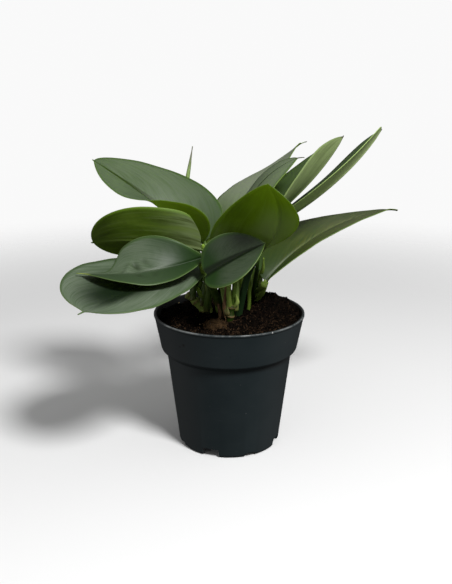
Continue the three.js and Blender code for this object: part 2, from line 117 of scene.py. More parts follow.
# Shoots, stubs and sheaths between the stems: the path, the radii at the foot, the belly and the end,
# how far along the belly is, the tint, as in LOOKS, and 1 for a dry one
SHOOTS = [
    ([(-13, 12, 124), (-15, 2, 133), (-17.2, -10, 140), (-23.2, -10, 152)], (1.3, 2.7, 1.5), 0.8, 1.05, 0),
    ([(-21, 10, 108), (-21.5, 9, 117), (-25, 8, 124), (-30.5, 6, 132)], (1.6, 1.9, 1.2), 0.4, 1.0, 0),
    ([(-15, 10, 104), (-16, 8, 114), (-17, 5, 122), (-18, 3, 131)], (2.0, 1.5, 1.3), 0.4, 1.6, 0),
    (
        [(2.6, -10, 114), (5.6, -12, 118), (6.4, -13, 121.5), (5.2, -13.5, 127)],
        (0.9, 1.7, 0.3), 0.45, 1.5, 0,
    ),
    ([(8.3, 25, 100), (7.8, 20, 112), (8.4, 13, 124), (9.5, 7, 138)], (2.6, 3.0, 2.4), 0.5, 0.9, 0),
    ([(-14, 11, 124), (-16, 8, 138), (-19, 2, 150), (-20.5, -3, 164)], (1.6, 2.3, 1.5), 0.7, 1.1, 0),
    ([(1, -10, 113), (0.2, -11.5, 119), (-0.4, -12, 127), (0, -10, 137)], (2.2, 1.9, 1.7), 0.3, 1.3, 0),
    ([(2.8, -9, 113), (3.4, -9.5, 119), (3.8, -8.5, 127), (4.8, -6, 137)], (1.8, 1.8, 1.6), 0.3, 0.35, 0),
    ([(20, 36, 100), (24, 29, 110), (27.8, 20, 119.5), (30.4, 11.5, 130)], (1.9, 2.3, 1.6), 0.55, 1.25, 0),
    ([(-5.5, 8, 100), (-6, 7, 112), (-6.8, 5, 122), (-6.2, 2, 134)], (2.2, 2.2, 1.9), 0.3, -0.1, 0),
    ([(-2.6, -9, 106), (-3.5, -9.5, 114), (-3.2, -9, 122), (-2.2, -8, 133)], (1.4, 1.8, 0.9), 0.35, 0.0, 1),
    ([(-5.8, -5, 100), (-6.6, -5, 106), (-7.6, -5, 111), (-8.4, -4, 116)], (2.0, 1.9, 1.2), 0.3, 0.0, 1),
    ([(16.5, 35, 100), (18, 31, 113), (22, 24, 126), (26.5, 16, 138)], (2.0, 2.0, 1.6), 0.3, 1.25, 0),
    ([(22, 24, 122), (24.5, 20, 131), (27, 15, 139), (27.5, 10, 150)], (1.4, 1.7, 0.5), 0.5, 1.2, 0),
    (
        [(-13, 13, 125), (-20.5, 19, 138), (-19, 20, 154), (-16.1, 20, 166.3)],
        (1.6, 2.5, 1.9), 0.75, 0.25, 0,
    ),
    ([(-20.5, 11, 106), (-24, 13, 119), (-23, 14, 128.5), (-22.2, 14, 136)], (1.6, 1.9, 1.5), 0.6, 0.2, 0),
    ([(20, 32, 109), (20, 18, 120), (21.6, 10, 136), (23, 10, 150)], (1.8, 1.7, 1.4), 0.5, 0.0, 0),
    ([(15, 14, 96), (16.3, 14, 111), (16.3, 14, 123), (16.5, 14, 133)], (1.7, 1.5, 1.3), 0.4, 0.6, 0),
]
SHOOT = Plan(steps=30, sides=18, end_share=0.6, rib_share=0.05, fine_rib_share=0.03)

# Leaves, as in the frame: a stalk from root, which sets off along rise, and a blade from base to tip.
# arch and sway bow the midrib up and to its right. half holds the left and the right half's greatest width.
# roll turns the face, and fold_left and fold_right lift the halves, at the base and at the tip, in degrees.
# curl bends the halves towards the margin, and hook moves the tip sideways and up.
# widest, taper, heel, body, tail and blunt shape the outline, lobe draws the base back past the stalk,
# and pinch holds from where to where the halves draw in, and what share of each is left.
# wave is how much the margin waves, quilted how far the face rises between the veins, stout how much
# thicker the stalk is than others, and reach_in how straight it runs into the blade.
# dents are wrinkles: the place along and across, the slant, the spread along and across, and the depth.
# Their hollows are painted darker, as shade.
# dry and fresh are how much of the tip is dry, or still yellow green. LOOKS explains the rest.
LEAVES = {
    "leaf_left_top": dict(
        root=(-12, 12, 125), rise=(-2, 2, 12), base=(-21, 16, 161), tip=(-106, 16, 227),
        arch=0, sway=11, roll=(-34, -30), half=(42, 37),
        fold_left=(76, -5), fold_right=(48, -12), curl=(18, -14),
        widest=0.36, taper=1.15, body=0.985, wave=0.3, stout=1.25,
        tint=0.05, ribbed=1.0, rib=6.0, dusk=0.55, dusk_reach=0.6, pale_under=0.08, pale_foot=0.15,
        glow=0.35,
    ),
    "leaf_left_back": dict(
        root=(-24, 9, 110), rise=(4, 7, 16), base=(-22, -2, 160), tip=(-110, 16, 161),
        arch=7, sway=-13, roll=(68, 62), half=(26.5, 24),
        fold_left=(14, 0), fold_right=(45, 0), curl=(10, 10),
        widest=0.45, taper=1.1, heel=0.2, body=0.975, lobe=-0.6, wave=0.3, stout=1.35,
        tint=0.3, deep=0.3, ribbed=0.2, pale_foot=0.4, glow=0.22, stalk=0.5,
    ),
    "leaf_left_middle": dict(
        root=(-17.8, 9, 106.5), rise=(1.5, -6, 15), base=(-20, -12, 156), tip=(-111, -47, 153),
        arch=-4, sway=-4, roll=(-25, 19), half=(25, 29),
        fold_left=(22, -8), fold_right=(65, -8), curl=(-20, 14),
        widest=0.55, taper=2.2, pinch=(0.6, 0.78, 1, 0.3), wave=0.35, stout=1.35,
        dents=[
            (0.54, 0.2, 0.1, 0.022, 0.14, 1.9),
            (0.6, 0.22, -0.15, 0.02, 0.16, -1.3),
            (0.47, 0.3, 0.2, 0.02, 0.1, 1.0),
            (0.66, 0.12, -0.1, 0.018, 0.1, 1.1),
            (0.56, -0.3, 0.1, 0.025, 0.2, 1.2),
            (0.44, -0.35, -0.1, 0.02, 0.2, 0.8),
        ],
        tint=0.25, deep=0.2, ribbed=0.1, dusk=1.2, dusk_reach=0.6, shade_left=0.85, fresh=0.07, glow=0.1,
    ),
    "leaf_left_low": dict(
        root=(-29, 8, 116), rise=(-3, 1, 9), base=(-23, 3, 145), tip=(-102, -95, 137),
        arch=1.5, sway=3, roll=(-4, -5), half=(29, 45),
        fold_left=(-3, 10), fold_right=(-2, 4), curl=(-18, 20),
        widest=0.64, taper=1.1, lobe=0.35, wave=0.35, stout=1.35,
        tint=0.1, dusk=0.4, shade_right=1.0, glow=0.06, stalk=0.5,
    ),
    "leaf_front": dict(
        root=(-10, 13, 111), rise=(0, -10, 18), base=(-17, -36, 149), tip=(26, -42, 174),
        arch=1, sway=1, roll=(24, 36), half=(19, 23),
        fold_left=(30, 35), fold_right=(8, 4), curl=(20, -12),
        body=0.985, wave=0.2, stout=1.3, reach_in=0.12,
        tint=0.3, deep=0.72, ribbed=1.0, rib=6.5, dusk=1.6, glow=0.08, grain=1.5,
    ),
    "leaf_centre": dict(
        root=(4, 9, 90), rise=(6, -8, 23), base=(23, -14, 160), tip=(25, -80, 223),
        arch=0, sway=-11, roll=(-5, -28), half=(15, 42),
        fold_left=(56, 0), fold_right=(8, 5), curl=(-18, -18),
        widest=0.28, taper=1.1, heel=0.7, body=0.985, lobe=0.4, wave=0.25, stout=1.5,
        tint=0.3, pale_foot=0.5, grey_rib=1.0, glow=0.35, stalk=-0.2,
    ),
    "leaf_back_high": dict(
        root=(-1.2, -11.5, 109), rise=(-2, 1, 22), base=(-12, 40, 165), tip=(66, 96, 234),
        arch=8, sway=6, roll=(1, -33), half=(38, 29),
        fold_left=(8, 4), fold_right=(4, 2), curl=(-8, -4), hook=(1.5, -1.5),
        widest=0.49, taper=2, wave=0.3, stout=1.2, reach_in=0.12,
        tint=0.85, ribbed=0.4, shine=1.0, dusk=0.35, dusk_reach=0.3, dry=0.02, stalk=0.85,
    ),
    "leaf_back_low": dict(
        root=(3.4, -8.5, 112), rise=(2, 3, 18), base=(8, 6, 175), tip=(57, 24, 229),
        arch=9, sway=-5, roll=(-5, 0), half=(20, 22),
        fold_left=(0, 3), fold_right=(4, 0), curl=(-18, -14), hook=(2.5, -1.5),
        widest=0.42, taper=1.35, wave=0.2, stout=1.35,
        tint=0.75, ribbed=0.9, shine=0.25, dry=0.05, stalk=0.75,
    ),
    "leaf_right_high": dict(
        root=(20, 35, 110), rise=(1, 1, 16), base=(27, 26, 174), tip=(96, 71, 240),
        arch=0, sway=9, roll=(3, -17), half=(21, 22),
        fold_left=(23, 40), fold_right=(28, 72), curl=(-2, 16),
        taper=1.5, body=0.985, wave=0.2, stout=1.2,
        tint=0.6, deep=0.8, ribbed=0.4, dry=0.03, pale_under=1.6, hem=0.1, grain=0.45, stalk=0.7,
    ),
    "leaf_right_far": dict(
        root=(24, 36, 116), rise=(3, 18, 14), base=(37, 42, 170), tip=(126, 63, 246),
        arch=0, sway=20, roll=(-9, -11), half=(34, 22),
        fold_left=(12, 14), fold_right=(36, 31), curl=(-18, -18),
        widest=0.54, taper=1.1, body=0.985, wave=0.0, quilted=0.0, stout=1.2,
        tint=0.6, ribbed=0.4, dusk=0.9, dusk_reach=0.35, shade_left=0.8, dry=0.02, pale_under=2.0,
        glow=0.15, hem=0.45, grain=0.15, stalk=0.6,
    ),
    "leaf_right_low": dict(
        root=(23, 34, 117), rise=(2, -9, 4), base=(30, 12, 131), tip=(142, 62, 180.5),
        arch=9, sway=-9, roll=(-14, -28), half=(31.5, 21),
        fold_left=(58, 16), fold_right=(11, -2), curl=(-20, -20), hook=(0, -2.5),
        widest=0.55, taper=1.3, tail=8.5, blunt=0.14, wave=0.15, stout=1.6,
        tint=1.6, dusk=0.7, shade_left=0.3, pale_under=0.35, glow=0.15, hem=0.5, grain=1.6, stalk=0.9,
    ),
}
NEW_LEAF = Plan(
    root=(-11, 13, 117), rise=(0, 14, 16), base=(-38, 58, 185), tip=(-31.5, 65, 232),
    radius=3.3, reach_in=0.3, bow=1.4, turns=1.4, seam=0.16, steps=110, curve_steps=160, sides=40,
)

# What all blades and stalks share, then the shape of a leaf where its own row says nothing
BLADE = Plan(
    point=0.45, veins=17, vein_slant=0.5, vein_bend=0.35, thickness=0.75, edge_thickness=0.5,
    thin_from=0.9, tip_thinned=0.4, tip_fade=(1.6, 0.6), rib_depth=0.95, rib_width=0.95, groove=0.45,
    groove_width=0.9, long_wave=6.5, short_wave=3.4, hook_from=0.92, hook_length=0.08, bruise=0.45,
    worst_bruise=0.85, rows=96, half_columns=18, crowding=1.6,
)
STALK = Plan(
    radius=1.8, root_radius=2.3, sunk=0.9, stout=(0.15, 0.85), foot_swell=0.9, foot=0.12,
    dirty_foot=(0.02, 0.16), joint=0.86, joint_swell=0.3, joint_length=0.06, wing=0.2, wing_at=0.72,
    wing_width=0.2, channel=0.32, channel_width=0.45, wings_start=0.1, wings_end=(0.68, 0.8),
    flat_from=0.84, steps=40, curve_steps=200,
)
SHAPE = dict(
    body=0.95, widest=0.4, taper=1.4, tail=1.7, blunt=0.5, lobe=0.25, pinch=(0, 1, 1, 1), quilted=0.03,
    hook=(0, 0), stout=1, reach_in=0.3, dents=(), dry=0, fresh=0,
)
LEAF_TRAITS = ("along", "share", "out", "rim", "dent", "dry", "fresh", "wing", "foot")

# How a leaf looks where its own row says nothing. Most are shares of a full effect, and a row may pass 1.
LOOKS = {
    "tint": 0.0,  # from silver through green, at 1, to olive, at 1.5
    "deep": 0.0,  # how dark the blade is all over: its own darker tone, and on a folded leaf painted shade inside the fold
    "ribbed": 0.0,  # how plain the midrib is, which on the upper face is painted shade
    "rib": 2.6,  # how wide the midrib is, in millimetres
    "shine": 0.0,  # how strong the painted sheen on the upper face is
    "dusk": 0.0,  # how dark the painted shade at the base is
    "dusk_reach": 0.4,  # how far up the painted shade at the base goes
    "shade_left": 0.0,  # how dark the left half is
    "shade_right": 0.0,  # how dark the painted shadow along the midrib is
    "pale_under": 0.0,  # how pale the underside is; past 1 the extra paleness is painted light
    "pale_foot": 0.8,  # how pale the underside's foot is
    "grey_rib": 0.0,  # how strong the painted sheen beside the underside's midrib is
    "glow": 0.3,  # how much of the light comes through
    "hem": 0.7,  # how plain the green margin is
    "grain": 1.0,  # how strong the streaks are
    "stalk": 0.4,  # how light the stalk is
}
LIGHT_THROUGH_LEAF = (0.6, 0.8, 0.1)
FAR_FROM_EDGE = 9.0  # the distance to midrib and rim that a stalk gets, as it has neither

# The photographed view
CAMERA_AT = (-2.5, -595.4, 301.4)
CAMERA_PITCH = 16.54  # degrees below the horizon
CAMERA_LENS = 48.3  # for a picture of this height, both in millimetres
PICTURE_HEIGHT = 36

# The lamps, the floor and the room, in metres
LAMPS = {
    "key": dict(at=(0.45, -0.78, 1.2), target=(0, 0, 0.15), size=0.36, power=23),
    "fill": dict(at=(-0.55, -0.95, 0.22), target=(-0.03, 0, 0.13), size=0.5, power=1.0),
}
FLOOR = Plan(reach=4.0, centre=(0.0, 0.05, 0.0), clear_from=0.35, clear_to=0.95)
ROOM = Plan(dimmest=0.045, above=0.36, beside=0.2, seen=0.95)


# Shader maths


class Wire:
    """A socket of one paint's nodes. Python's operators on numbers add its Math nodes."""

    def __init__(self, paint, socket):
        self.paint = paint
        self.socket = socket

    def maths(self, operation, *others):
        return self.paint.node("Math", {"operation": operation}, dict(enumerate([self, *others])))

    def reflected(self, operation, first):
        """The same for one other value that comes first, so that 1 - mask works."""
        return self.paint.node("Math", {"operation": operation}, {0: first, 1: self})

    def __add__(self, other):
        return self.maths("ADD", other)

    def __sub__(self, other):
        return self.maths("SUBTRACT", other)

    def __mul__(self, other):
        return self.maths("MULTIPLY", other)

    def __truediv__(self, other):
        return self.maths("DIVIDE", other)

    def __pow__(self, other):
        return self.maths("POWER", other)

    def __radd__(self, other):
        return self + other

    def __rsub__(self, other):
        return self.reflected("SUBTRACT", other)

    def __rmul__(self, other):
        return self * other

    def __rtruediv__(self, other):
        return self.reflected("DIVIDE", other)

    def __rpow__(self, other):
        return self.reflected("POWER", other)

    def size(self):
        return self.maths("ABSOLUTE")

    def most(self, other):
        return self.maths("MAXIMUM", other)

    def least(self, other):
        return self.maths("MINIMUM", other)

    def between(self, low, high):
        """0 below low and 1 above high, with a smooth step. High below low turns it round."""
        if low > high:
            return 1.0 - self.between(high, low)
        settings = {"interpolation_type": "SMOOTHSTEP"}
        return self.paint.node("MapRange", settings, {0: self, 1: low, 2: high})


class Paint:
    """The nodes of a material, or of the light all round."""

    def __init__(self, made):
        self.made = made
        made.use_nodes = True
        self.tree = made.node_tree
        self.tree.nodes.clear()

    def node(self, kind, settings=None, sockets=None, out=0):
        """Any node: its type, its settings, then the values or wires of its sockets."""
        made = self.tree.nodes.new("ShaderNode" + kind)
        for key, value in (settings or {}).items():
            setattr(made, key, value)
        for key, value in (sockets or {}).items():
            if isinstance(value, Wire):
                self.tree.links.new(value.socket, made.inputs[key])
            else:
                made.inputs[key].default_value = value
        return Wire(self, made.outputs[out]) if len(made.outputs) else None

    def trait(self, name):
        """A number that the mesh carries at each of its points."""
        return self.node("Attribute", {"attribute_name": name}, out=2)

    def place(self):
        """The point's place on the object, in metres."""
        return self.node("TexCoord", out=3)

    def on_vectors(self, operation, first, second, out=0):
        return self.node("VectorMath", {"operation": operation}, {0: first, 1: second}, out)

    def stretched(self, x, y, z):
        """The place, scaled differently along each axis."""
        return self.on_vectors("MULTIPLY", self.place(), (x, y, z))

    def away_from(self, at):
        """The distance from a place, in metres."""
        return self.on_vectors("DISTANCE", self.place(), at, out=1)

    def triple(self, first, second, third):
        """Three numbers as a vector."""
        return self.node("CombineXYZ", None, {0: first, 1: second, 2: third})

    def noise(self, scale, detail=3.0, roughness=0.55, vector=None):
        sockets = {"Scale": scale, "Detail": detail, "Roughness": roughness}
        return self.node("TexNoise", None, {**sockets, "Vector": vector or self.place()})

    def mix(self, share, first, second):
        """A colour between two colours."""
        both = [(*c, 1.0) if isinstance(c, tuple) else c for c in (first, second)]
        return self.node("Mix", {"data_type": "RGBA"}, {0: share, 6: both[0], 7: both[1]}, out=2)

    def layers(self, colour, *coats):
        """A colour under coats, each given as its share and its tone."""
        for share, tone in coats:
            colour = self.mix(share, colour, tone)
        return colour

    def bump(self, height, distance, strength):
        sockets = {"Height": height, "Distance": distance, "Strength": strength}
        return self.node("Bump", None, sockets)

    def finish(self, colour, roughness, normal, shine=0.5, glow_share=None):
        """The surface. shine is its specular level, and glow_share scales the light that comes through."""
        sockets = {"Base Color": colour, "Roughness": roughness, "Normal": normal}
        surface = self.node("BsdfPrincipled", None, {**sockets, "Specular IOR Level": shine})
        if glow_share is not None:
            through = self.node("BsdfTranslucent", None, {"Color": (*LIGHT_THROUGH_LEAF, 1.0)})
            share = self.trait("glow") * glow_share
            surface = self.node("MixShader", None, {0: share, 1: surface, 2: through})
        self.node("OutputMaterial", None, {"Surface": surface})
        return self.made


def paint_named(name):
    return Paint(bpy.data.materials.new(name))


# Finishes

SILVER, SILVER_LIT = (0.105, 0.14, 0.092), (0.125, 0.157, 0.11)
GREEN, GREEN_LIT = (0.115, 0.17, 0.07), (0.15, 0.2, 0.1)
OLIVE_BASE, OLIVE_TIP, OLIVE_LIT = (0.055, 0.066, 0.005), (0.1, 0.105, 0.052), (0.16, 0.19, 0.08)
DARK_STREAK, FINE_DARK_STREAK = (0.045, 0.08, 0.03), (0.03, 0.058, 0.022)
PALE_STREAK, OLIVE_STREAK = (0.15, 0.185, 0.135), (0.14, 0.17, 0.05)
FINE_STREAK, FINE_OLIVE_STREAK = (0.18, 0.215, 0.165), (0.15, 0.18, 0.06)
SHINING, DEEP_AND_SHADE, SHADED = (0.3, 0.34, 0.25), (0.015, 0.028, 0.011), (0.03, 0.055, 0.022)
CAST_SHADOW, BASE_SHADE, DENT_SHADE = (0.006, 0.014, 0.005), (0.012, 0.035, 0.006), (0.02, 0.034, 0.012)
FRESH_TIP, DRY_TIP = (0.3, 0.36, 0.06), (0.045, 0.035, 0.02)
TOP_EDGES = (0.035, 0.08, 0.012), (0.17, 0.24, 0.09), (0.004, 0.01, 0.002)  # margin, its line, and the midrib's painted shade
UNDER_EDGES = (0.11, 0.21, 0.008), (0.27, 0.37, 0.08), (0.18, 0.25, 0.07)
UNDER, UNDER_LIT = (0.045, 0.078, 0.002), (0.062, 0.112, 0.004)
UNDER_PALE, UNDER_PALE_LIT, UNDER_PAINTED_LIGHT = (0.31, 0.38, 0.2), (0.37, 0.43, 0.26), (0.72, 0.92, 0.4)
UNDER_BLOTCH, UNDER_BAND = (0.025, 0.035, 0.002), (0.13, 0.2, 0.02)
UNDER_FINE_DARK, UNDER_FINE_PALE = (0.045, 0.065, 0.01), (0.24, 0.32, 0.12)
SHEEN_BY_RIB, UNDER_DEEP_AND_SHADE = (0.21, 0.23, 0.15), (0.02, 0.03, 0.001)
STALK_DARK, STALK_GREEN, STALK_LIGHT = (0.012, 0.035, 0.009), (0.06, 0.115, 0.014), (0.2, 0.29, 0.045)
STALK_STREAK, STALK_WING, STALK_FOOT = (0.19, 0.28, 0.06), (0.27, 0.37, 0.1), (0.13, 0.085, 0.035)
STEM_DARK, STEM_GREEN, STEM_PALE_AND_LIT = (0.015, 0.035, 0.002), (0.16, 0.26, 0.03), (0.36, 0.46, 0.12)
STEM_STREAK, STEM_BLOTCH = (0.21, 0.29, 0.05), (0.11, 0.08, 0.035)
STEM_SCAR, STEM_FOOT = (0.2, 0.13, 0.06), (0.02, 0.022, 0.005)
SHEATH_DARK, SHEATH_LIGHT = (0.06, 0.028, 0.012), (0.26, 0.15, 0.07)
NEW_GREEN, NEW_LIGHT, NEW_TIP = (0.17, 0.27, 0.06), (0.26, 0.36, 0.12), (0.16, 0.16, 0.11)
PEAT_BLACK, PEAT_BROWN, PEAT_LIGHT = (0.0012, 0.0009, 0.0007), (0.007, 0.004, 0.0025), (0.09, 0.052, 0.028)
PERLITE, PEAT_GRIT, PEAT_RED = (0.4, 0.3, 0.18), (0.004, 0.0028, 0.002), (0.03, 0.012, 0.005)
COIR_DARK, COIR_LIGHT, COIR_GRIT = (0.009, 0.005, 0.002), (0.15, 0.085, 0.034), (0.02, 0.01, 0.005)
POT_DARK, POT_LIGHT, POT_SCUFF = (0.014, 0.022, 0.0245), (0.0185, 0.027, 0.0295), (0.07, 0.08, 0.085)
POT_SPECK, POT_DUST, POT_INNER_DARK = (0.006, 0.006, 0.006), (0.2, 0.2, 0.19), (0.004, 0.0035, 0.003)
POT_TOP_SHADE, POT_RIM_HIGHLIGHT = (0.01, 0.012, 0.012), (0.24, 0.25, 0.245)
POT_MARKS = [  # a chip of perlite and two smudges: place and size in metres, and colour
    ((0.0315, -0.0504, 0.1082), 0.0008, (0.6, 0.6, 0.58)),
    ((-0.0341, -0.046, 0.0968), 0.0014, (0.004, 0.004, 0.004)),
    ((-0.0372, -0.0435, 0.0945), 0.001, (0.005, 0.005, 0.005)),
]
WALL_LEAN = 0.1937  # how far the pot's collar leans out, for each metre up
POT_ZONES = Plan(  # heights and distances from the axis between which the finish changes, in metres
    inner_wall=(0.0382, 0.0377), peat_line=(0.09, 0.1), top=(0.1086, 0.1089), top_reach=(0.0594, 0.0588),
    edge=(0.1078, 0.1086), edge_reach=(0.0588, 0.0596),
)
FLOOR_DARK, FLOOR_LIGHT = (0.8, 0.8, 0.8), (0.82, 0.82, 0.82)


def streaks(paint, across, lengthwise):
    """Noise drawn out along the veins, which leave the midrib at a slant and bend on towards the tip."""
    share = paint.trait("share")
    away = share.size()
    lie = paint.trait("along") - away * BLADE.vein_slant - away * away * BLADE.vein_bend
    vector = paint.triple(lie * across, share * lengthwise, paint.trait("tint") * 37.0)
    return paint.noise(1.0, 3.0, 0.6, vector)


def leaf_edges(paint, margin, line, midrib_tone_and_shade):
    """The coats that add the greener margin, the midrib, which on the upper face is painted shade, and the
    margin's thin pale line.
    """
    rim, hem = paint.trait("rim"), paint.trait("hem")
    narrow = paint.trait("out") / (paint.trait("rib") * (1.05 - paint.trait("along"))).most(0.05)
    return [
        (rim.between(3.5, 0.6) * hem, margin),
        # the midrib's line; on the upper face its tone is painted shade
        (narrow.between(1.0, 0.5) * paint.trait("ribbed"), midrib_tone_and_shade),
        (rim.between(0.6, 0.25) * hem * 0.7, line),
    ]


def leaf_top_paint():
    """Satin silver green, streaked along the veins, with green margins."""
    paint = paint_named("silver_leaf_top")
    tint, along, share = (paint.trait(name) for name in ("tint", "along", "share"))
    olive, grain = tint.between(1.0, 1.5), paint.trait("grain")
    soft = paint.noise(28.0, 3.0)
    patch = soft.between(0.3, 0.7)
    broad, fine = streaks(paint, 26.0, 2.5), streaks(paint, 120.0, 5.0)
    lit = share.between(-0.12, 0.02) * share.between(0.5, 0.1)
    olive_tone = paint.mix(lit * 0.6, paint.mix(along.between(0.2, 0.7), OLIVE_BASE, OLIVE_TIP), OLIVE_LIT)
    # a painted cast shadow of the leaf above, beside the midrib
    cast_shadow = share.between(-0.55, -0.14) * share.between(0.95, 0.2) * along.between(0.98, 0.76)
    # painted shade towards the base of the blade
    shaded = (1.0 - along / paint.trait("dusk_reach")).between(0.0, 1.0)
    colour = paint.layers(
        paint.mix(patch, SILVER, SILVER_LIT),
        (tint.least(1.0), paint.mix(patch, GREEN, GREEN_LIT)),
        (olive, olive_tone),
        (broad.between(0.52, 0.3) * 0.55, DARK_STREAK),
        (broad.between(0.5, 0.75) * 0.4, paint.mix(olive, PALE_STREAK, OLIVE_STREAK)),
        (fine.between(0.52, 0.36) * grain * 0.6, FINE_DARK_STREAK),
        (fine.between(0.52, 0.7) * grain * 0.38, paint.mix(olive, FINE_STREAK, FINE_OLIVE_STREAK)),
        # a painted sheen, growing away from the base
        (paint.trait("shine") * along.between(0.05, 0.5), SHINING),
        # darker all over: the leaf's own tone, and painted shade inside a fold
        (paint.trait("deep"), DEEP_AND_SHADE),
        (share.between(0.0, -0.25) * paint.trait("shade_left"), SHADED),
        (cast_shadow * paint.trait("shade_right"), CAST_SHADOW),
        (shaded * paint.trait("dusk"), BASE_SHADE),
        *leaf_edges(paint, *TOP_EDGES),
        # painted shade in the wrinkles' hollows
        (paint.trait("dent"), DENT_SHADE),
        (paint.trait("fresh"), FRESH_TIP),
        (paint.trait("dry"), DRY_TIP),
    )
    bump = paint.bump((fine * 0.6 + broad * 0.7) * grain.least(1.0), 0.0001, 0.5)
    return paint.finish(colour, 0.4 + soft * 0.14, bump, 0.3, 1.0)


def leaf_under_paint():
    """Duller olive green, paler towards the stalk, with painted light and a painted sheen where a leaf's row
    asks.
    """
    paint = paint_named("leaf_underside")
    along, share = paint.trait("along"), paint.trait("share")
    soft = paint.noise(24.0, 2.0)
    patch = soft.between(0.3, 0.7)
    broad, fine = (
        paint.noise(1.0, 3.0, 0.6, paint.triple(along * 2.2, share * across, paint.trait("tint") * 37.0))
        for across in (4.5, 22.0)
    )
    pale_foot = along.between(0.55, 0.02) ** 2.0 * paint.trait("pale_foot")
    pale = pale_foot.most(paint.trait("pale_under"))
    grain = paint.trait("grain").least(1.0)
    near_rib = share.between(0.5, 0.1) * along.between(0.8, 0.4)
    colour = paint.layers(
        paint.mix(patch, UNDER, UNDER_LIT),
        (pale, paint.mix(patch, UNDER_PALE, UNDER_PALE_LIT)),
        # painted light on undersides whose row passes more than 1
        (pale.between(1.0, 2.0), UNDER_PAINTED_LIGHT),
        (broad.between(0.55, 0.32) * grain * 0.75, UNDER_BLOTCH),
        (broad.between(0.5, 0.68) * grain * 0.5, UNDER_BAND),
        (fine.between(0.5, 0.3) * grain * 0.35, UNDER_FINE_DARK),
        (fine.between(0.5, 0.7) * grain * 0.25, UNDER_FINE_PALE),
        # a painted sheen beside the midrib
        (near_rib * paint.trait("grey_rib"), SHEEN_BY_RIB),
        # darker all over: the leaf's own tone, and painted shade inside a fold
        (paint.trait("deep") * 0.6, UNDER_DEEP_AND_SHADE),
        *leaf_edges(paint, *UNDER_EDGES),
        (paint.trait("dry"), DRY_TIP),
    )
    bump = paint.bump((fine * 0.5 + broad * 0.8) * grain, 0.0001, 0.3)
    return paint.finish(colour, 0.5 + soft * 0.1, bump, 0.2, 1.0 - pale_foot * 0.7)


def stalk_paint():
    paint = paint_named("leaf_stalk")
    tone = paint.trait("stalk")
    grain = paint.noise(5.0, 3.0, 0.6, paint.stretched(60.0, 60.0, 8.0))
    pale = tone.between(-0.2, 0.8)
    colour = paint.layers(
        paint.mix(tone.between(-0.2, 0.5), STALK_DARK, STALK_GREEN),
        (tone.between(0.4, 1.3), STALK_LIGHT),
        (grain.between(0.4, 0.7) * pale * 0.5, STALK_STREAK),
        (paint.trait("wing") * pale * 0.6, STALK_WING),
        (paint.trait("foot") * paint.noise(60.0, 2.0).between(0.35, 0.6) * 0.8, STALK_FOOT),
    )
    return paint.finish(colour, 0.42 + grain * 0.12, paint.bump(grain, 0.0002, 0.5), 0.4)


def stem_paint():
    paint = paint_named("stem_skin")
    tint, scar = paint.trait("tint"), paint.trait("scar")
    grain = paint.noise(6.0, 4.0, 0.65, paint.stretched(70.0, 70.0, 9.0))
    blotch = paint.noise(260.0, 3.0)
    colour = paint.layers(
        paint.mix(tint.least(1.0), STEM_DARK, STEM_GREEN),
        # tints past 1 paint a paler green: partly the stems' own, partly painted light on stems in the
        # leaves' shade
        (tint.between(1.0, 1.8), STEM_PALE_AND_LIT),
        (grain.between(0.45, 0.75) * tint.between(-0.2, 1.0) * 0.55, STEM_STREAK),
        (blotch.between(0.62, 0.75) * 0.5, STEM_BLOTCH),
        (scar * blotch.between(0.2, 0.6), STEM_SCAR),
        (paint.trait("foot") * 0.7, STEM_FOOT),
    )
    bump = paint.bump(grain + scar * blotch, 0.0003, 0.7)
    return paint.finish(colour, 0.45 + blotch * 0.25, bump, 0.15)


def sheath_paint():
    paint = paint_named("dry_sheath")
    grain = paint.noise(7.0, 4.0, 0.7, paint.stretched(90.0, 90.0, 12.0))
    colour = paint.mix(grain.between(0.3, 0.7), SHEATH_DARK, SHEATH_LIGHT)
    return paint.finish(colour, 0.75 + grain * 0.15, paint.bump(grain, 0.0003, 0.9), 0.3)


def young_leaf_paint():
    paint = paint_named("young_leaf")
    grain = paint.noise(5.0, 3.0, 0.6, paint.stretched(80.0, 80.0, 10.0))
    colour = paint.mix(grain.between(0.35, 0.7), NEW_GREEN, NEW_LIGHT)
    colour = paint.mix(paint.trait("along").between(0.82, 0.97), colour, NEW_TIP)
    return paint.finish(colour, 0.42 + grain * 0.1, paint.bump(grain, 0.0002, 0.5))


def peat_paint():
    """Near-black peat, lighter with the tone of each crumb and fibre."""
    paint = paint_named("peat")
    tone = paint.trait("tone")
    grit = paint.noise(1100.0, 4.0, 0.7)
    colour = paint.layers(
        paint.mix(tone.between(0.0, 0.5), PEAT_BLACK, PEAT_BROWN),
        (tone.between(0.4, 0.95), PEAT_LIGHT),
        (tone.between(0.97, 0.99), PERLITE),
        (grit.between(0.35, 0.65) * 0.5, PEAT_GRIT),
        (paint.noise(45.0, 3.0).between(0.55, 0.75) * 0.2, PEAT_RED),
    )
    return paint.finish(colour, 0.9 + grit * 0.1, paint.bump(grit, 0.0006, 1.0), 0.04)


def coir_paint():
    paint = paint_named("coir_fibre")
    grit = paint.noise(700.0, 3.0, 0.65)
    colour = paint.mix(paint.trait("tone"), COIR_DARK, COIR_LIGHT)
    colour = paint.mix(grit.between(0.4, 0.7) * 0.5, colour, COIR_GRIT)
    return paint.finish(colour, 0.85 + grit * 0.15, paint.bump(grit, 0.0003, 0.8), 0.15)


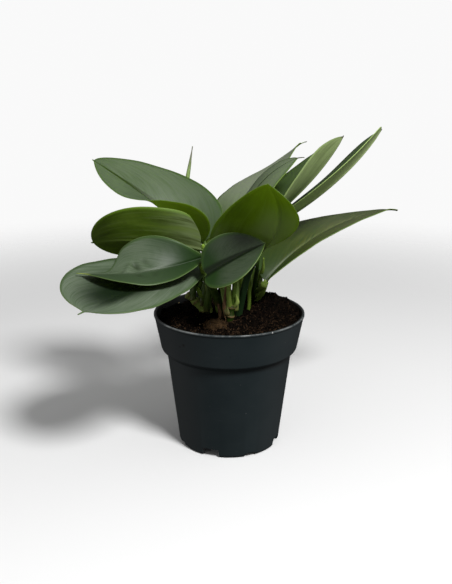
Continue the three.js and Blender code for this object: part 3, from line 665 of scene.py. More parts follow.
def pot_paint():
    """Blue-grey plastic with light wear, dark inside, and a painted highlight along the rim, broken up by
    noise.
    """
    paint = paint_named("pot_plastic")
    height = paint.node("SeparateXYZ", None, {0: paint.place()}, out=2)
    reach = paint.node("VectorMath", {"operation": "LENGTH"}, {0: paint.stretched(1, 1, 0)}, out=1)
    cloud, pores = paint.noise(22.0, 3.0), paint.noise(1500.0, 2.0)
    scuffs = paint.noise(7.0, 4.0, 0.7, paint.stretched(12.0, 12.0, 150.0))
    specks, ragged = paint.noise(420.0, 2.0, 0.5), paint.noise(70.0, 4.0, 0.7)
    zones = POT_ZONES
    inner_wall = (reach - height * WALL_LEAN).between(*zones.inner_wall)
    top = height.between(*zones.top) * reach.between(*zones.top_reach)
    edge = height.between(*zones.edge) * reach.between(*zones.edge_reach)
    marks = [
        ((paint.away_from(at) + ragged * size * 0.8).between(size * 1.5, size), tone)
        for at, size, tone in POT_MARKS
    ]
    colour = paint.layers(
        paint.mix(cloud.between(0.3, 0.7), POT_DARK, POT_LIGHT),
        (scuffs.between(0.62, 0.78) * 0.2, POT_SCUFF),
        (specks.between(0.74, 0.78) * 0.6, POT_SPECK),
        (specks.between(0.24, 0.2) * 0.5, POT_DUST),
        # darker on the inner wall above the peat
        (inner_wall * height.between(*zones.peat_line) * 0.85, POT_INNER_DARK),
        # the rim's flat top is painted darker, as shade
        (top * 0.7, POT_TOP_SHADE),
        # a painted highlight along the rim's outer edge, broken up by noise
        (edge * ragged.between(0.36, 0.66) * 0.7, POT_RIM_HIGHLIGHT),
        *marks,
    )
    roughness = 0.36 + cloud * 0.12 + scuffs.between(0.5, 0.8) * 0.1
    return paint.finish(colour, roughness, paint.bump(pores * 0.3 + scuffs * 0.3, 0.0001, 0.5))


def floor_paint():
    """A pale floor that fades into the pale surroundings away from the pot."""
    paint = paint_named("pale_floor")
    colour = paint.mix(paint.noise(3.0, 2.0), FLOOR_DARK, FLOOR_LIGHT)
    surface = paint.node("BsdfDiffuse", None, {"Color": colour})
    share = paint.away_from(FLOOR.centre).between(FLOOR.clear_from, FLOOR.clear_to)
    seen = paint.node("MixShader", None, {0: share, 1: surface, 2: paint.node("BsdfTransparent")})
    paint.node("OutputMaterial", None, {"Surface": seen})
    return paint.made


def surroundings():
    """A room that is bright above and to the sides of the plant, and looks evenly pale."""
    paint = Paint(bpy.data.worlds.new("studio"))
    way = paint.node("TexCoord")
    right, up = (paint.node("SeparateXYZ", None, {0: way}, out=axis) for axis in (0, 2))
    above, beside = up.between(0.1, 0.95), right.size().between(0.5, 1.0)
    glow = ROOM.dimmest + above * ROOM.above + beside * ROOM.beside
    light, seen = (
        paint.node("Background", None, {"Color": (1, 1, 1, 1), "Strength": strength})
        for strength in (glow, ROOM.seen)
    )
    sky = paint.node("MixShader", None, {0: paint.node("LightPath"), 1: light, 2: seen})
    paint.node("OutputWorld", None, {"Surface": sky})
    return paint.made


# Meshes


def put(name, data):
    """Puts a new object into the scene."""
    made = bpy.data.objects.new(name, data)
    bpy.context.scene.collection.objects.link(made)
    return made


class Heap:
    """Points, faces and traits of one piece, gathered from several shapes."""

    def __init__(self, *traits):
        self.points = []
        self.faces = []
        self.slots = []
        self.traits = {name: [] for name in traits}

    def add(self, points, faces, slots=0, **traits):
        start = len(self.points)
        points = np.asarray(points, float).reshape(-1, 3)
        self.points.extend(points.tolist())
        self.faces.extend([tuple(start + i for i in face) for face in faces])
        self.slots.extend([slots] * len(faces) if isinstance(slots, int) else slots)
        for name, values in self.traits.items():
            given = np.broadcast_to(np.asarray(traits.get(name, 0.0), float), (len(points),))
            values.extend(given.tolist())

    def add_rings(self, rings, slots=0, **traits):
        """Adds a skin over rings of points, closed at both ends."""
        rows, count = rings.shape[:2]
        faces = []
        for k in range(rows - 1):
            for i in range(count):
                j = (i + 1) % count
                faces.append((k * count + i, k * count + j, (k + 1) * count + j, (k + 1) * count + i))
        faces += [tuple(reversed(range(count))), tuple(range((rows - 1) * count, rows * count))]
        self.add(rings, faces, slots, **traits)

    def piece(self, name, materials, slot, *nodes):
        """Makes the mesh object, which stands for these nodes of the frame."""
        mesh = bpy.data.meshes.new(name)
        mesh.from_pydata((np.array(self.points) * MM).tolist(), [], self.faces)
        for material in materials:
            mesh.materials.append(material)
        mesh.polygons.foreach_set("material_index", self.slots)
        mesh.polygons.foreach_set("use_smooth", [True] * len(self.faces))
        for trait, values in self.traits.items():
            mesh.attributes.new(trait, "FLOAT", "POINT").data.foreach_set("value", values)
        mesh.update()
        made = put(name, mesh)
        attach(made, "root")
        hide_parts(*nodes)


def unit(vectors):
    return vectors / np.linalg.norm(vectors, axis=-1, keepdims=True)


def mixed(low, high, share):
    return low + (high - low) * share


def smooth(low, high, x):
    t = np.clip((x - low) / (high - low), 0.0, 1.0)
    return t * t * (3 - 2 * t)


def hump(x, middle, spread):
    """1 at the middle, and less on both sides of it."""
    return np.exp(-(((x - middle) / spread) ** 2))


def even_steps(points, shares):
    """Places at shares of a line's length."""
    steps = np.linalg.norm(np.diff(points, axis=0), axis=1)
    length = np.concatenate([[0.0], np.cumsum(steps)])
    wanted = np.asarray(shares) * length[-1]
    return np.stack([np.interp(wanted, length, points[:, i]) for i in range(3)], axis=1)


def cubic(a, b, c, d, t):
    t = t[:, None]
    return a * (1 - t) ** 3 + 3 * b * t * (1 - t) ** 2 + 3 * c * t * t * (1 - t) + d * t**3


def ways_of(points):
    return unit(np.gradient(points, axis=0))


def carried_along(ways, up):
    """Up vectors carried along a line without twist, from its first way on."""
    ups = []
    for way in ways:
        up = unit(up - way * np.dot(up, way))
        ups.append(up)
    return np.array(ups)


def ups_and_sides(line, up=(1.0, 0.0, 0.0)):
    """The two directions across a line at each of its points."""
    ways = ways_of(line)
    ups = carried_along(ways, np.array(up))
    return ups, np.cross(ways, ups)


def rings_round(line, ups, sides, x, y):
    """Rings of points round a line, x along its ups and y along its sides."""
    return line[:, None] + x[..., None] * ups[:, None] + y[..., None] * sides[:, None]


def ball(subdivisions):
    """The points and faces of a ball of radius 1."""
    body = bmesh.new()
    bmesh.ops.create_icosphere(body, subdivisions=subdivisions, radius=1.0)
    points = [v.co.copy() for v in body.verts]
    faces = [tuple(v.index for v in f.verts) for f in body.faces]
    body.free()
    return points, faces


# Leaves


def midrib(leaf, s):
    """The midrib's places at shares s of its length, and the blade's frame there."""
    base, tip = np.array(leaf.base, float), np.array(leaf.tip, float)
    along = unit(tip - base)
    up = unit(np.array([0, 0, 1]) - along * along[2])
    right = np.cross(along, up)
    bow = (base + tip) / 2 + 2 * leaf.arch * up + 2 * leaf.sway * right
    t = s[:, None]
    at = base * (1 - t) ** 2 + 2 * bow * t * (1 - t) + tip * t * t
    forward = unit((bow - base) * (1 - t) + (tip - bow) * t)
    upright = unit(up - forward * (forward @ up)[:, None])
    turn = np.radians(mixed(*leaf.roll, s))[:, None]
    face = upright * np.cos(turn) + np.cross(forward, upright) * np.sin(turn)
    sideways, lift = leaf.hook
    end = np.clip((t - BLADE.hook_from) / BLADE.hook_length, 0, 1) ** 2
    return at + end * (right * sideways + up * lift), forward, face, np.cross(forward, face)


def half_width(leaf, greatest, s):
    widest = leaf.widest
    t = np.minimum(s / leaf.body, 1)
    power = np.where(t < widest, leaf.heel, leaf.taper)
    broad = ((t / widest) ** widest * ((1 - t) / (1 - widest)) ** (1 - widest)) ** power
    tail = mixed(SHAPE["tail"], leaf.tail, s)
    return greatest * broad + tail * (1 - s) ** leaf.blunt + BLADE.point


def blade(leaf, s, v):
    """The blade's middle surface: rows at shares s of its length, columns at shares v of a half."""
    at, forward, face, side = (a[:, None, :] for a in midrib(leaf, s))
    s = s[:, None]
    u = np.abs(v)[None, :]
    right = v[None, :] >= 0
    hand = np.where(right, 1.0, -1.0)
    greatest = np.where(right, leaf.half[1], leaf.half[0])
    from_here, to_here, *keeps = leaf.pinch
    kept = mixed(1, np.where(right, keeps[1], keeps[0]), smooth(from_here, to_here, s))
    width = half_width(leaf, greatest * kept, s)
    fold = np.radians(np.where(right, mixed(*leaf.fold_right, s), mixed(*leaf.fold_left, s)))
    curl = np.radians(np.where(right, leaf.curl[1], leaf.curl[0])) * width / greatest
    bend = fold + curl * u / 2
    out = u * width
    back = leaf.lobe * out * u * (1 - s) ** 3
    wide = (hand * out * np.cos(bend))[..., None] * side
    place = at + wide + (out * np.sin(bend))[..., None] * face - back[..., None] * forward
    slope = fold + curl * u
    normal = np.cos(slope)[..., None] * face - (hand * np.sin(slope))[..., None] * side
    normal = np.where((u == 0)[..., None], face, normal)
    return place, normal, out, width - out


def dented(leaf, s, v):
    """How deep the blade's wrinkles are. A depth below nothing is a ridge."""
    deep = np.zeros(np.broadcast_shapes(s.shape, v.shape))
    for at_s, at_v, slant, spread_s, spread_v, depth in leaf.dents:
        away = (s - at_s - slant * (v - at_v)) / spread_s
        deep = deep + depth * np.exp(-(away**2) - ((v - at_v) / spread_v) ** 2)
    return deep


def ripple(leaf, s, v, seed):
    """How far the blade waves out of its even surface, in millimetres."""
    length = np.linalg.norm(np.subtract(leaf.tip, leaf.base))
    amid = np.sin(np.pi * np.clip(s, 0, 1))
    reach = amid**0.7 * np.abs(v) ** 2.2
    shift = 1.7 * seed + np.where(v > 0, 2.1, 0.0)
    long, short = s * length / BLADE.long_wave, s * length / BLADE.short_wave
    moved = leaf.wave * reach * (np.sin(long + shift) + 0.5 * np.sin(short + 2.3 * shift))
    slanting = s - BLADE.vein_slant * np.abs(v) - BLADE.vein_bend * v * v
    quilted = leaf.quilted * np.sin(slanting * TURN * BLADE.veins) * amid
    return moved + quilted * np.minimum(1, 4 * np.abs(v)) - dented(leaf, s, v)


def blade_rings(leaf, s, v, seed):
    """Rings round the blade: the upper face from left to right, then the lower face back."""
    place, normal, out, rim = blade(leaf, s, v)
    s, v = s[:, None], v[None, :]
    moved = ripple(leaf, s, v, seed)
    thick = mixed(BLADE.thickness, BLADE.edge_thickness, np.abs(v))
    thin_end = 1 - BLADE.tip_thinned * smooth(BLADE.thin_from, 1.0, s)
    groove = BLADE.groove * hump(out, 0, BLADE.groove_width) * (1 - s) ** 0.5
    ridge = BLADE.rib_depth * (1 - s) ** 0.8 * hump(out, 0, BLADE.rib_width)
    upper = place + normal * (moved - groove)[..., None]
    lower = place + normal * (moved - thick * thin_end - ridge)[..., None]
    # the wrinkles' hollows are painted darker, as shade
    dent_shade = np.clip(dented(leaf, s, v) * BLADE.bruise, 0, BLADE.worst_bruise)
    traits = {"along": s, "share": v, "out": out, "rim": rim, "dent": dent_shade}
    traits = {name: np.broadcast_to(values, out.shape) for name, values in traits.items()}
    traits = {name: np.concatenate([t, t[:, ::-1]], axis=1) for name, t in traits.items()}
    return np.concatenate([upper, lower[:, ::-1]], axis=1), traits


def stalk_line(root, rise, at, forward, reach_in, t):
    """The curve of a stalk from its root to the blade's base."""
    reach = np.linalg.norm(root - at)
    return cubic(root, root + rise, at - forward * reach_in * reach, at, t)


def stalk_rings(leaf, first_ring, count):
    """Rings round the stalk, channelled above with two low wings, and flatter towards the blade."""
    at, forward, face, side = (a[0] for a in midrib(leaf, np.zeros(1)))
    root = np.array(leaf.root, float)
    t = np.linspace(0, 1, STALK.curve_steps)
    line = stalk_line(root, leaf.rise, at, forward, leaf.reach_in, t)
    shares = np.linspace(0, 1, STALK.steps + 1)[:-1]
    centres = even_steps(line, shares)
    ways = ways_of(even_steps(line, np.append(shares, 1)))[:-1]
    ups = carried_along(ways[::-1], face)[::-1]
    sides = np.cross(ways, ups)
    flat_x, flat_y = (first_ring - at) @ side, (first_ring - at) @ face
    angle = np.pi - TURN * (np.arange(count) + 0.5) / count
    from_top = np.abs(angle - np.pi / 2)
    wing = hump(from_top, STALK.wing_at, STALK.wing_width)
    channel = hump(from_top, 0, STALK.channel_width)
    rings = []
    for k, t in enumerate(shares):
        amid = smooth(0.0, STALK.stout[0], t) * (1 - smooth(STALK.stout[1], 1, t))
        stout = mixed(1, leaf.stout, amid)
        radius = mixed(STALK.root_radius, STALK.radius, min(1, 2 * t)) * stout
        radius = radius + STALK.foot_swell * (1 - smooth(0.0, STALK.foot, t))
        radius = radius + STALK.joint_swell * hump(t, STALK.joint, STALK.joint_length)
        winged = smooth(0.0, STALK.wings_start, t) * (1 - smooth(*STALK.wings_end, t))
        r = radius * (1 + winged * (STALK.wing * wing - STALK.channel * channel))
        flatness = smooth(STALK.flat_from, 1.0, t)
        x = mixed(r * np.cos(angle), flat_x, flatness)
        y = mixed(r * np.sin(angle) - STALK.sunk, flat_y, flatness)
        rings.append(centres[k] + x[:, None] * sides[k] + y[:, None] * ups[k])
    shares = shares[:, None]
    traits = {"along": shares - 1, "out": FAR_FROM_EDGE, "rim": FAR_FROM_EDGE}
    traits["wing"] = wing[None, :] * (1 - smooth(*STALK.wings_end, shares))
    traits["foot"] = 1 - smooth(*STALK.dirty_foot, shares)
    return np.array(rings), traits


def columns():
    """Shares across the blade, closer together at the midrib."""
    half = np.linspace(0, 1, BLADE.half_columns + 1) ** BLADE.crowding
    return np.concatenate([-half[:0:-1], half])


def leaf_piece(name, plan, seed, paints):
    """One leaf. Its faces have slot 0 on top, 1 underneath and 2 on the stalk."""
    plan = {**SHAPE, **LOOKS, **plan}
    leaf = Plan(**{"heel": plan["taper"], **plan})
    even = np.linspace(0, 1, BLADE.rows)
    s = mixed(even, 0.5 - 0.5 * np.cos(np.pi * even), 0.5)
    v = columns()
    rings, blade_traits = blade_rings(leaf, s, v, seed)
    count = rings.shape[1]
    stalk, stalk_traits = stalk_rings(leaf, rings[0], count)
    round_blade = [0 if i < len(v) - 1 or i == count - 1 else 1 for i in range(count)]
    slots = [2] * count * len(stalk) + round_blade * (len(rings) - 1) + [2, 0]
    traits = {}
    for key in LEAF_TRAITS:
        below = np.broadcast_to(stalk_traits.get(key, 0.0), stalk.shape[:2])
        above = np.broadcast_to(blade_traits.get(key, 0.0), rings.shape[:2])
        traits[key] = np.concatenate([below, above]).ravel()
    for key in ("dry", "fresh"):
        if plan[key]:
            start, full = (1 - reach * plan[key] for reach in BLADE.tip_fade)
            traits[key] = smooth(start, full, traits["along"])
    traits.update({key: plan[key] for key in LOOKS})
    heap = Heap(*traits)
    heap.add_rings(np.concatenate([stalk, rings]), slots, **traits)
    heap.piece(name + "_fine", paints, "silver_leaf", name)


def new_leaf_piece(leaf, paint):
    """The rolled new leaf, with the seam of its roll winding up it."""
    root, base, tip = (np.array(place, float) for place in (leaf.root, leaf.base, leaf.tip))
    t = np.linspace(0, 1, leaf.curve_steps)
    stalk = stalk_line(root, leaf.rise, base, unit(tip - base), leaf.reach_in, t)
    line = np.concatenate([stalk, base + (tip - base) * t[1:, None]])
    total = np.linalg.norm(np.diff(line, axis=0), axis=1).sum()
    blade_share = np.linalg.norm(tip - base) / total
    shares = np.linspace(0, 1, leaf.steps)
    centres = even_steps(line, shares)
    ups, sides = ups_and_sides(centres)
    turn = np.arange(leaf.sides) / leaf.sides
    rings = []
    for k, share in enumerate(shares):
        s = (share - (1 - blade_share)) / blade_share
        if s < 0:
            radius = mixed(STALK.root_radius, STALK.radius, min(1, 2 * share))
        else:
            swell = mixed(STALK.radius, leaf.radius, math.sin(math.pi * min(0.5, 2 * s)))
            radius = max(BLADE.point, swell * (1 - s) ** 0.8)
        s = max(s, 0.0)
        r = radius * (1 - leaf.seam * smooth(0.0, 0.12, s) * turn)
        angle = TURN * (turn + leaf.turns * s)
        bend = leaf.bow * s**2 * math.sin(2.2 * s)
        x, y = (r * np.cos(angle))[:, None], (r * np.sin(angle))[:, None]
        rings.append(centres[k] + np.array([bend, 0, 0]) + x * ups[k] + y * sides[k])
    heap = Heap("along")
    heap.add_rings(np.array(rings), along=np.repeat(shares, leaf.sides))
    heap.piece("leaf_new_fine", [paint], "young_leaf", "leaf_new")


# Stems


def smooth_path(points):
    """A curve through the points that bends as the frame's stems do."""
    p = [np.array(q, float) for q in points]
    p = [2 * p[0] - p[1], *p, 2 * p[-1] - p[-2]]
    line = []
    for a, b, c, d in zip(p, p[1:], p[2:], p[3:]):
        d0, d1, d2 = (np.linalg.norm(y - x) ** 0.5 for x, y in ((a, b), (b, c), (c, d)))
        m1 = ((b - a) / d0 - (c - a) / (d0 + d1) + (c - b) / d1) * d1
        m2 = ((c - b) / d1 - (d - b) / (d1 + d2) + (d - c) / d2) * d1
        square, cube = 3 * (c - b) - 2 * m1 - m2, 2 * (b - c) + m1 + m2
        for t in np.linspace(0, 1, STEM.curve_steps, endpoint=False):
            line.append(b + m1 * t + square * t * t + cube * t**3)
    return np.array([*line, p[-2]])


def stem_frame(path, shares):
    centres = even_steps(smooth_path(path), shares)
    return centres, *ups_and_sides(centres)


def scarred(stem, t, spread):
    """1 at each leaf scar of the stem, and less away from it."""
    return np.max([hump(t, scar, spread) for scar in stem.scars], axis=0)


def stem_radius(stem, t):
    swollen = STEM.scar_rise * scarred(stem, t, STEM.scar_spread)
    return stem.radius * (mixed(1, STEM.top_share, t) + swollen)


def add_sheath(heap, stem, low, high, facing, spread, lift):
    """A dry papery sheath that still clasps the stem, with a torn top."""
    rows, cols = SHEATH.rows, SHEATH.columns
    shares = np.linspace(low, high, rows)
    centres, ups, sides = stem_frame(stem.path, shares)
    across = np.linspace(-1, 1, cols)
    rings = []
    for k, t in enumerate(shares):
        rise = k / (rows - 1)
        narrow = (1 - rise**3) * 0.9 + 0.1
        angle = math.radians(facing) + math.radians(spread) * across * narrow
        away = stem_radius(stem, t) + SHEATH.gap + lift * rise**2
        away = away + SHEATH.waves * np.sin(5 * across + 6 * rise)
        outer, inner = (
            centres[k] + (r * np.cos(angle))[:, None] * ups[k] + (r * np.sin(angle))[:, None] * sides[k]
            for r in (away + SHEATH.thickness, away)
        )
        rings.append(np.concatenate([outer, inner[::-1]]))
    heap.add_rings(np.array(rings), slots=1)


def stem_piece(name, stem, paints):
    shares = np.linspace(0, 1, STEM.steps)
    centres, ups, sides = stem_frame(stem.path, shares)
    angle = TURN * np.arange(STEM.sides) / STEM.sides
    scar = scarred(stem, shares, STEM.scar_edge_spread)
    ribbed = STEM.rib * np.sin(7 * angle) + STEM.fine_rib * np.sin(11 * angle + 1)
    radius = stem_radius(stem, shares)[:, None] + ribbed[None, :] + STEM.scar_edge * scar[:, None]
    radius[-2:] *= np.array(STEM.end_shares)[:, None]
    rings = rings_round(centres, ups, sides, radius * np.cos(angle), radius * np.sin(angle))
    cut_end = smooth(*STEM.cut_end, shares)
    dirty = 1 - smooth(*STEM.dirty_foot, rings[..., 2])
    scar = np.repeat(np.maximum(scar, cut_end), STEM.sides)
    heap = Heap("tint", "scar", "foot")
    heap.add_rings(rings, tint=stem.tint, scar=scar, foot=dirty.ravel())
    if name in SHEATHS:
        add_sheath(heap, stem, **SHEATHS[name])
    heap.piece(name + "_fine", paints, "stem_skin", name)


def shoots_piece(paints):
    """Young shoots, stubs and sheaths between the stems, each rooted in the peat or in a stem."""
    heap = Heap("tint", "scar", "foot")
    shares = np.linspace(0, 1, SHOOT.steps)
    angle = TURN * np.arange(SHOOT.sides) / SHOOT.sides
    for path, (foot, belly, end), fattest, tint, dry in SHOOTS:
        radius = mixed(foot, belly, smooth(0, fattest, shares))
        radius = mixed(radius, end, smooth(fattest, 1, shares))
        radius[[0, -1]] *= SHOOT.end_share
        ribbed = 1 + SHOOT.rib_share * np.sin(5 * angle + foot) + SHOOT.fine_rib_share * np.sin(9 * angle)
        radius = radius[:, None] * ribbed
        rings = rings_round(*stem_frame(path, shares), radius * np.cos(angle), radius * np.sin(angle))
        heap.add_rings(rings, dry, tint=tint)
    heap.piece("young_shoots", paints, "stem_skin")


# Pot


def rounded(profile):
    """A closed profile with its corners rounded."""
    steps = POT.corner_steps
    corners = [np.array(p, float) for p in profile]
    made = []
    for i, p in enumerate(corners):
        if p[0] < ON_AXIS:
            made.append(p)
            continue
        before, after = corners[i - 1] - p, corners[(i + 1) % len(corners)] - p
        cut = min(POT.corner, *(POT.corner_share * np.linalg.norm(side) for side in (before, after)))
        a, b = p + unit(before) * cut, p + unit(after) * cut
        for k in range(steps + 1):
            t = k / steps
            made.append(a * (1 - t) ** 2 + 2 * p * t * (1 - t) + b * t * t)
    return made


def pot_profile():
    """The wall's outline from the middle of the underside round the rim to the middle of the floor."""
    p = POT
    collar_foot = p.height - p.collar_height
    shoulder = collar_foot - p.shoulder_drop
    neck = p.rim_radius - p.lip_stands_out
    floor_top = p.floor_under + p.floor_thickness
    ring_inside = p.base_radius - p.bevel - p.foot_ring
    return [
        (0, 0),
        (p.boss_radius, 0),
        (p.boss_radius + p.draft, p.floor_under),
        (ring_inside - p.draft, p.floor_under),
        (ring_inside, 0),
        (p.base_radius - p.bevel, 0),
        (p.base_radius, p.bevel),
        (p.shoulder_radius, shoulder),
        (p.collar_foot_radius - p.edge, collar_foot - p.edge),
        (p.collar_foot_radius, collar_foot + p.edge),
        (neck, p.height - p.lip_height - p.lip_stands_out),
        (p.rim_radius, p.height - p.lip_height),
        (p.rim_radius, p.height),
        (neck - p.wall, p.height),
        (p.collar_foot_radius - p.wall, collar_foot),
        (p.shoulder_radius - p.wall, shoulder - p.wall / 2),
        (p.base_radius - p.wall, floor_top),
        (0, floor_top),
    ]


def inner_radius(z):
    """The pot wall's inner radius in its collar at height z."""
    p = POT
    low, high = p.height - p.collar_height, p.height - p.edge
    neck = p.rim_radius - p.lip_stands_out
    return mixed(p.collar_foot_radius, neck, (z - low) / (high - low)) - p.wall


def pot_piece(paint):
    """The pot's wall, turned round its axis, with the notches cut out."""
    sides = POT.sides
    turns = [TURN * i / sides for i in range(sides)]
    mesh = bmesh.new()
    rings = []
    for r, z in rounded(pot_profile()):
        if r < ON_AXIS:
            rings.append([mesh.verts.new((0, 0, z * MM))])
            continue
        rings.append([mesh.verts.new((r * math.cos(a) * MM, r * math.sin(a) * MM, z * MM)) for a in turns])
    for lower, upper in zip(rings, rings[1:]):
        for i in range(sides):
            j = (i + 1) % sides
            corners = [ring[n % len(ring)] for ring, n in ((lower, i), (lower, j), (upper, j), (upper, i))]
            mesh.faces.new(list(dict.fromkeys(corners)))
    bmesh.ops.recalc_face_normals(mesh, faces=mesh.faces)
    data = bpy.data.meshes.new("pot_fine")
    mesh.to_mesh(data)
    mesh.free()
    pot = put("pot_fine", data)
    cut_notches(pot)
    pot.data.materials.clear()
    pot.data.materials.append(paint)
    pot.data.polygons.foreach_set("use_smooth", [True] * len(pot.data.polygons))
    pot.data.set_sharp_from_angle(angle=math.radians(POT.sharp_from))
    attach(pot, "root")
    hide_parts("pot")


def cut_notches(pot):
    """Cuts the drain notches out of the foot, with softened corners."""
    cutter = bmesh.new()
    depth = NOTCHES.depth
    out = POT.base_radius + NOTCHES.stands_out - depth / 2
    for cut in NOTCHES.cuts:
        size = Matrix.Diagonal((depth * MM, cut.width * MM, 2 * cut.height * MM, 1))
        for i in range(NOTCHES.pairs):
            angle = math.radians(cut.angle + 360 / NOTCHES.pairs * i)
            place = Matrix.Rotation(angle, 4, "Z") @ Matrix.Translation((out * MM, 0, 0)) @ size
            made = bmesh.ops.create_cube(cutter, size=1.0, matrix=place)
            edges = list({e for v in made["verts"] for e in v.link_edges})
            corner = {"offset": NOTCHES.corner * MM, "segments": NOTCHES.corner_steps}
            bmesh.ops.bevel(cutter, geom=edges, profile=0.5, affect="EDGES", **corner)
    data = bpy.data.meshes.new("notches")
    cutter.to_mesh(data)
    cutter.free()
    tool = put("notches", data)
    cut = pot.modifiers.new("notches", "BOOLEAN")
    cut.operation = "DIFFERENCE"
    cut.solver = "EXACT"
    cut.object = tool
    drawn = bpy.context.evaluated_depsgraph_get()
    pot.data = bpy.data.meshes.new_from_object(pot.evaluated_get(drawn))
    pot.modifiers.clear()
    bpy.data.objects.remove(tool)


# Peat


def peat_height(x, y):
    """The height of the peat's smooth surface, as in the frame."""
    s = SOIL
    share = math.hypot(x, y) / POT.rim_radius
    back = max(0.0, x * s.heap_way[0] + y * s.heap_way[1]) / POT.rim_radius
    broad = math.sin(x / s.lump_size + 1) * math.sin(y / s.lump_size)
    slanting = math.sin((1.5 * x - 1.3 * y) / s.lump_size)
    lumps = s.lump * (broad + 0.7 * slanting)
    return s.level + s.mound * (1 - share * share) + s.heap * back**2 + lumps


def fractal(at, octaves=3):
    """Noise in octaves, each half as large and half as strong as the one before."""
    return noise.fractal(at, 1.0, 2.0, octaves)


def rough_height(x, y):
    """The peat's height with its grit, rougher and higher at the back right."""
    at = Vector((x, y, 0.0))
    coarse = fractal(at * SOIL.rough_scale)
    fine = fractal(at * SOIL.grit_scale + Vector(SOIL.grit_shift))
    backward = SOIL.back_way[0] * x + SOIL.back_way[1] * y
    behind = smooth(*SOIL.back, backward / POT.rim_radius)
    heaped = peat_height(x, y) + SOIL.heaped_up * behind
    return heaped + (SOIL.rough + behind) * coarse + SOIL.gritty * fine


def drawn_way(draw, across, up):
    """A way drawn at random, that spreads so far across and up."""
    return Vector((draw.gauss(0, across), draw.gauss(0, across), draw.gauss(0, up)))


def spot_on_peat(draw, reach):
    """A place drawn evenly within this reach of the middle, and its distance from there."""
    turn, away = draw.uniform(0, TURN), math.sqrt(draw.random()) * reach
    return away * math.cos(turn), away * math.sin(turn), away


def add_crumbs(heap, draw):
    """Crumbs, painted lighter at the front as light and darker to the right as shade, with a few pale grains
    of perlite.
    """
    points, faces = ball(1)
    points = np.array(points)
    for _ in range(CRUMBS.count):
        x, y, away = spot_on_peat(draw, CRUMBS.reach)
        size = CRUMBS.least + CRUMBS.more * draw.random() ** 3
        z = rough_height(x, y) + CRUMBS.raised * size
        if inner_radius(z) - size - away < 0:
            continue
        shape = points * [size * draw.uniform(*CRUMBS.stretch) for _ in range(3)]
        shape = shape * (1 + CRUMBS.uneven * np.array([[draw.uniform(-1, 1)] for _ in points]))
        spun = Matrix.Rotation(draw.uniform(0, 6.3), 3, Vector((draw.random(), draw.random(), 1)))
        shape = shape @ np.array(spun).T + (x, y, z)
        # painted light towards the front and painted shade to the right
        front = smooth(*CRUMBS.paler, y)
        lit = mixed(0.78, 1.05, front) * mixed(1, 0.75, smooth(*CRUMBS.duller, x))
        dull = min(1.0, 1.35 - 0.6 * size)
        perlite = draw.random() < CRUMBS.perlite
        tone = PERLITE_TONE if perlite else draw.random() ** mixed(5, 2.2, front) * lit * dull
        heap.add(shape, faces, tone=tone)


def add_fibre(heap, draw, start, way, length, radius, tone, curl, over_peat=None):
    """A thin bent fibre, three-sided, that may keep to a height over the peat."""
    steps = FIBRES.steps
    place, way = Vector(start), Vector(way).normalized()
    bend = drawn_way(draw, 1, 0.6)
    line = []
    for _ in range(steps + 1):
        line.append(place.copy())
        way = (way + bend * curl / steps).normalized()
        bend += drawn_way(draw, 0.5, 0.3)
        place = place + way * length / steps
        if over_peat:
            place.z = rough_height(place.x, place.y) + over_peat + radius
    line = np.array([p[:] for p in line])
    ups, sides = ups_and_sides(line, (0.3, 0.2, 0.9))
    rings = []
    for k in range(steps + 1):
        r = radius * (1 - FIBRES.drawn_out * k / steps)
        rings.append([line[k] + r * (math.cos(a) * ups[k] + math.sin(a) * sides[k]) for a in FIBRES.corners])
    heap.add_rings(np.array(rings), tone=tone)


def soil_piece(paint):
    """The peat: a body with a rough top, and the crumbs and fibres on it."""
    draw = random.Random(SOIL.seed)
    turns = [TURN * i / SOIL.sides for i in range(SOIL.sides)]
    floor_top = POT.floor_under + POT.floor_thickness + SOIL.floor_gap
    collar_foot = POT.height - POT.collar_height
    foot = POT.base_radius - SOIL.foot_gap, floor_top
    waist = POT.shoulder_radius - SOIL.waist_gap, collar_foot - SOIL.waist_drop
    rows = [[(r * math.cos(a), r * math.sin(a), z) for a in turns] for r, z in (foot, waist)]
    edge = [(SOIL.near_wall * math.cos(a), SOIL.near_wall * math.sin(a)) for a in turns]
    walls = [inner_radius(peat_height(x, y)) - SOIL.wall_gap for x, y in edge]
    for k in range(SOIL.rings):
        share = (1 - k / SOIL.rings) ** SOIL.crowding
        places = [(wall * share * math.cos(a), wall * share * math.sin(a)) for a, wall in zip(turns, walls)]
        rows.append([(x, y, rough_height(x, y)) for x, y in places])
    points = np.array(rows)
    heap = Heap("tone")
    heap.add_rings(points, tone=[0.25 + 0.35 * noise.noise(Vector(p) * 0.5) for p in points.reshape(-1, 3)])
    add_crumbs(heap, draw)
    for _ in range(FIBRES.count):
        x, y, away = spot_on_peat(draw, FIBRES.reach)
        way = (draw.gauss(0, 1), draw.gauss(0, 1), 0)
        length = draw.uniform(*FIBRES.length)
        if away + length > FIBRES.ends:
            continue
        # fibres are painted paler towards the front, as light
        tone = min(FIBRES.palest, 0.2 + 0.65 * draw.random() ** 2 + 0.25 * smooth(*FIBRES.paler, y))
        start = (x, y, rough_height(x, y) + FIBRES.starts_over)
        radius = draw.uniform(*FIBRES.radius)
        add_fibre(heap, draw, start, way, length, radius, tone, FIBRES.curl, FIBRES.over_peat)
    heap.piece("soil_fine", [paint], "peat", "soil")


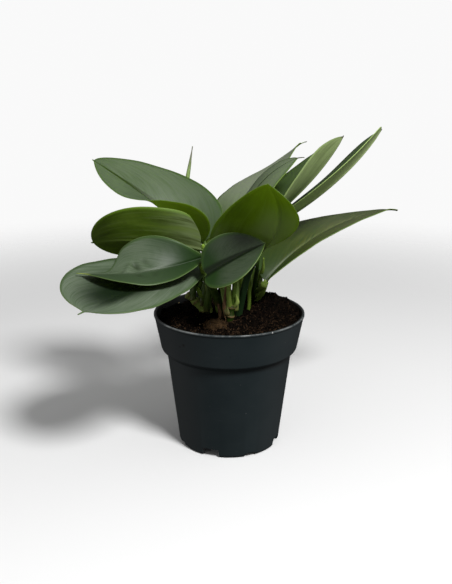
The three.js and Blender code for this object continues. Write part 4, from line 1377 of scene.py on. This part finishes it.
def coir_piece(paint):
    """The clump of coconut fibre: a rough core under a coat of curly fibres."""
    draw = random.Random(COIR.seed)

    def on_clump(point, share):
        return [COIR.at[i] + COIR.size[i] * point[i] * share for i in range(3)]

    heap = Heap("tone")
    points, faces = ball(4)
    core = [on_clump(p, COIR.core + COIR.uneven * fractal(p * COIR.uneven_scale, 4)) for p in points]
    heap.add(core, faces, tone=[0.25 + 0.3 * noise.noise(Vector(p) * 0.6) for p in core])
    for _ in range(COIR.fibres):
        z = draw.uniform(COIR.lowest, 1.0)
        turn = draw.uniform(0, TURN)
        flat = math.sqrt(1 - z * z)
        outward = Vector((flat * math.cos(turn), flat * math.sin(turn), z))
        way = outward.cross(drawn_way(draw, 1, 1)).normalized()
        way = way + outward * draw.uniform(0.0, COIR.fluffed)
        tone = 0.1 + 0.9 * draw.random() ** 2
        length, radius = draw.uniform(*COIR.length), draw.uniform(*COIR.radius)
        add_fibre(heap, draw, on_clump(outward, COIR.core), way, length, radius, tone, COIR.curl)
    heap.piece("coir_lump_fine", [paint], "coir", "coir_lump")


# Studio


def lamp(name, at, target, size, power):
    data = bpy.data.lights.new(name, "AREA")
    data.shape = "DISK"
    data.size = size
    data.energy = power
    made = put(name, data)
    made.location = at
    made.rotation_euler = (Vector(target) - Vector(at)).to_track_quat("-Z", "Y").to_euler()


def studio():
    """The floor, the lamps and the room."""
    floor = bpy.data.meshes.new("floor")
    reach = FLOOR.reach
    corners = [(-reach, -reach, 0), (reach, -reach, 0), (reach, reach, 0), (-reach, reach, 0)]
    floor.from_pydata(corners, [], [(0, 1, 2, 3)])
    floor.materials.append(floor_paint())
    ground = put("floor", floor)
    ground.visible_diffuse = False
    ground.visible_glossy = False
    for name, plan in LAMPS.items():
        lamp(name, **plan)
    bpy.context.scene.world = surroundings()


def camera():
    data = bpy.data.cameras.new("camera")
    data.sensor_width = PICTURE_HEIGHT
    data.lens = CAMERA_LENS
    made = put("camera", data)
    made.location = Vector(CAMERA_AT) * MM
    made.rotation_euler = (math.radians(90 - CAMERA_PITCH), 0, 0)
    bpy.context.scene.camera = made


camera()
studio()
pot_piece(pot_paint())
soil_piece(peat_paint())
coir_piece(coir_paint())

stem_paints = [stem_paint(), sheath_paint()]
for stem_name, stem_plan in STEMS.items():
    stem_piece(stem_name, stem_plan, stem_paints)
shoots_piece(stem_paints)

leaf_paints = [leaf_top_paint(), leaf_under_paint(), stalk_paint()]
for number, (leaf_name, leaf_plan) in enumerate(LEAVES.items()):
    leaf_piece(leaf_name, leaf_plan, number, leaf_paints)
new_leaf_piece(NEW_LEAF, young_leaf_paint())

bpy.context.scene.view_settings.view_transform = "Standard"
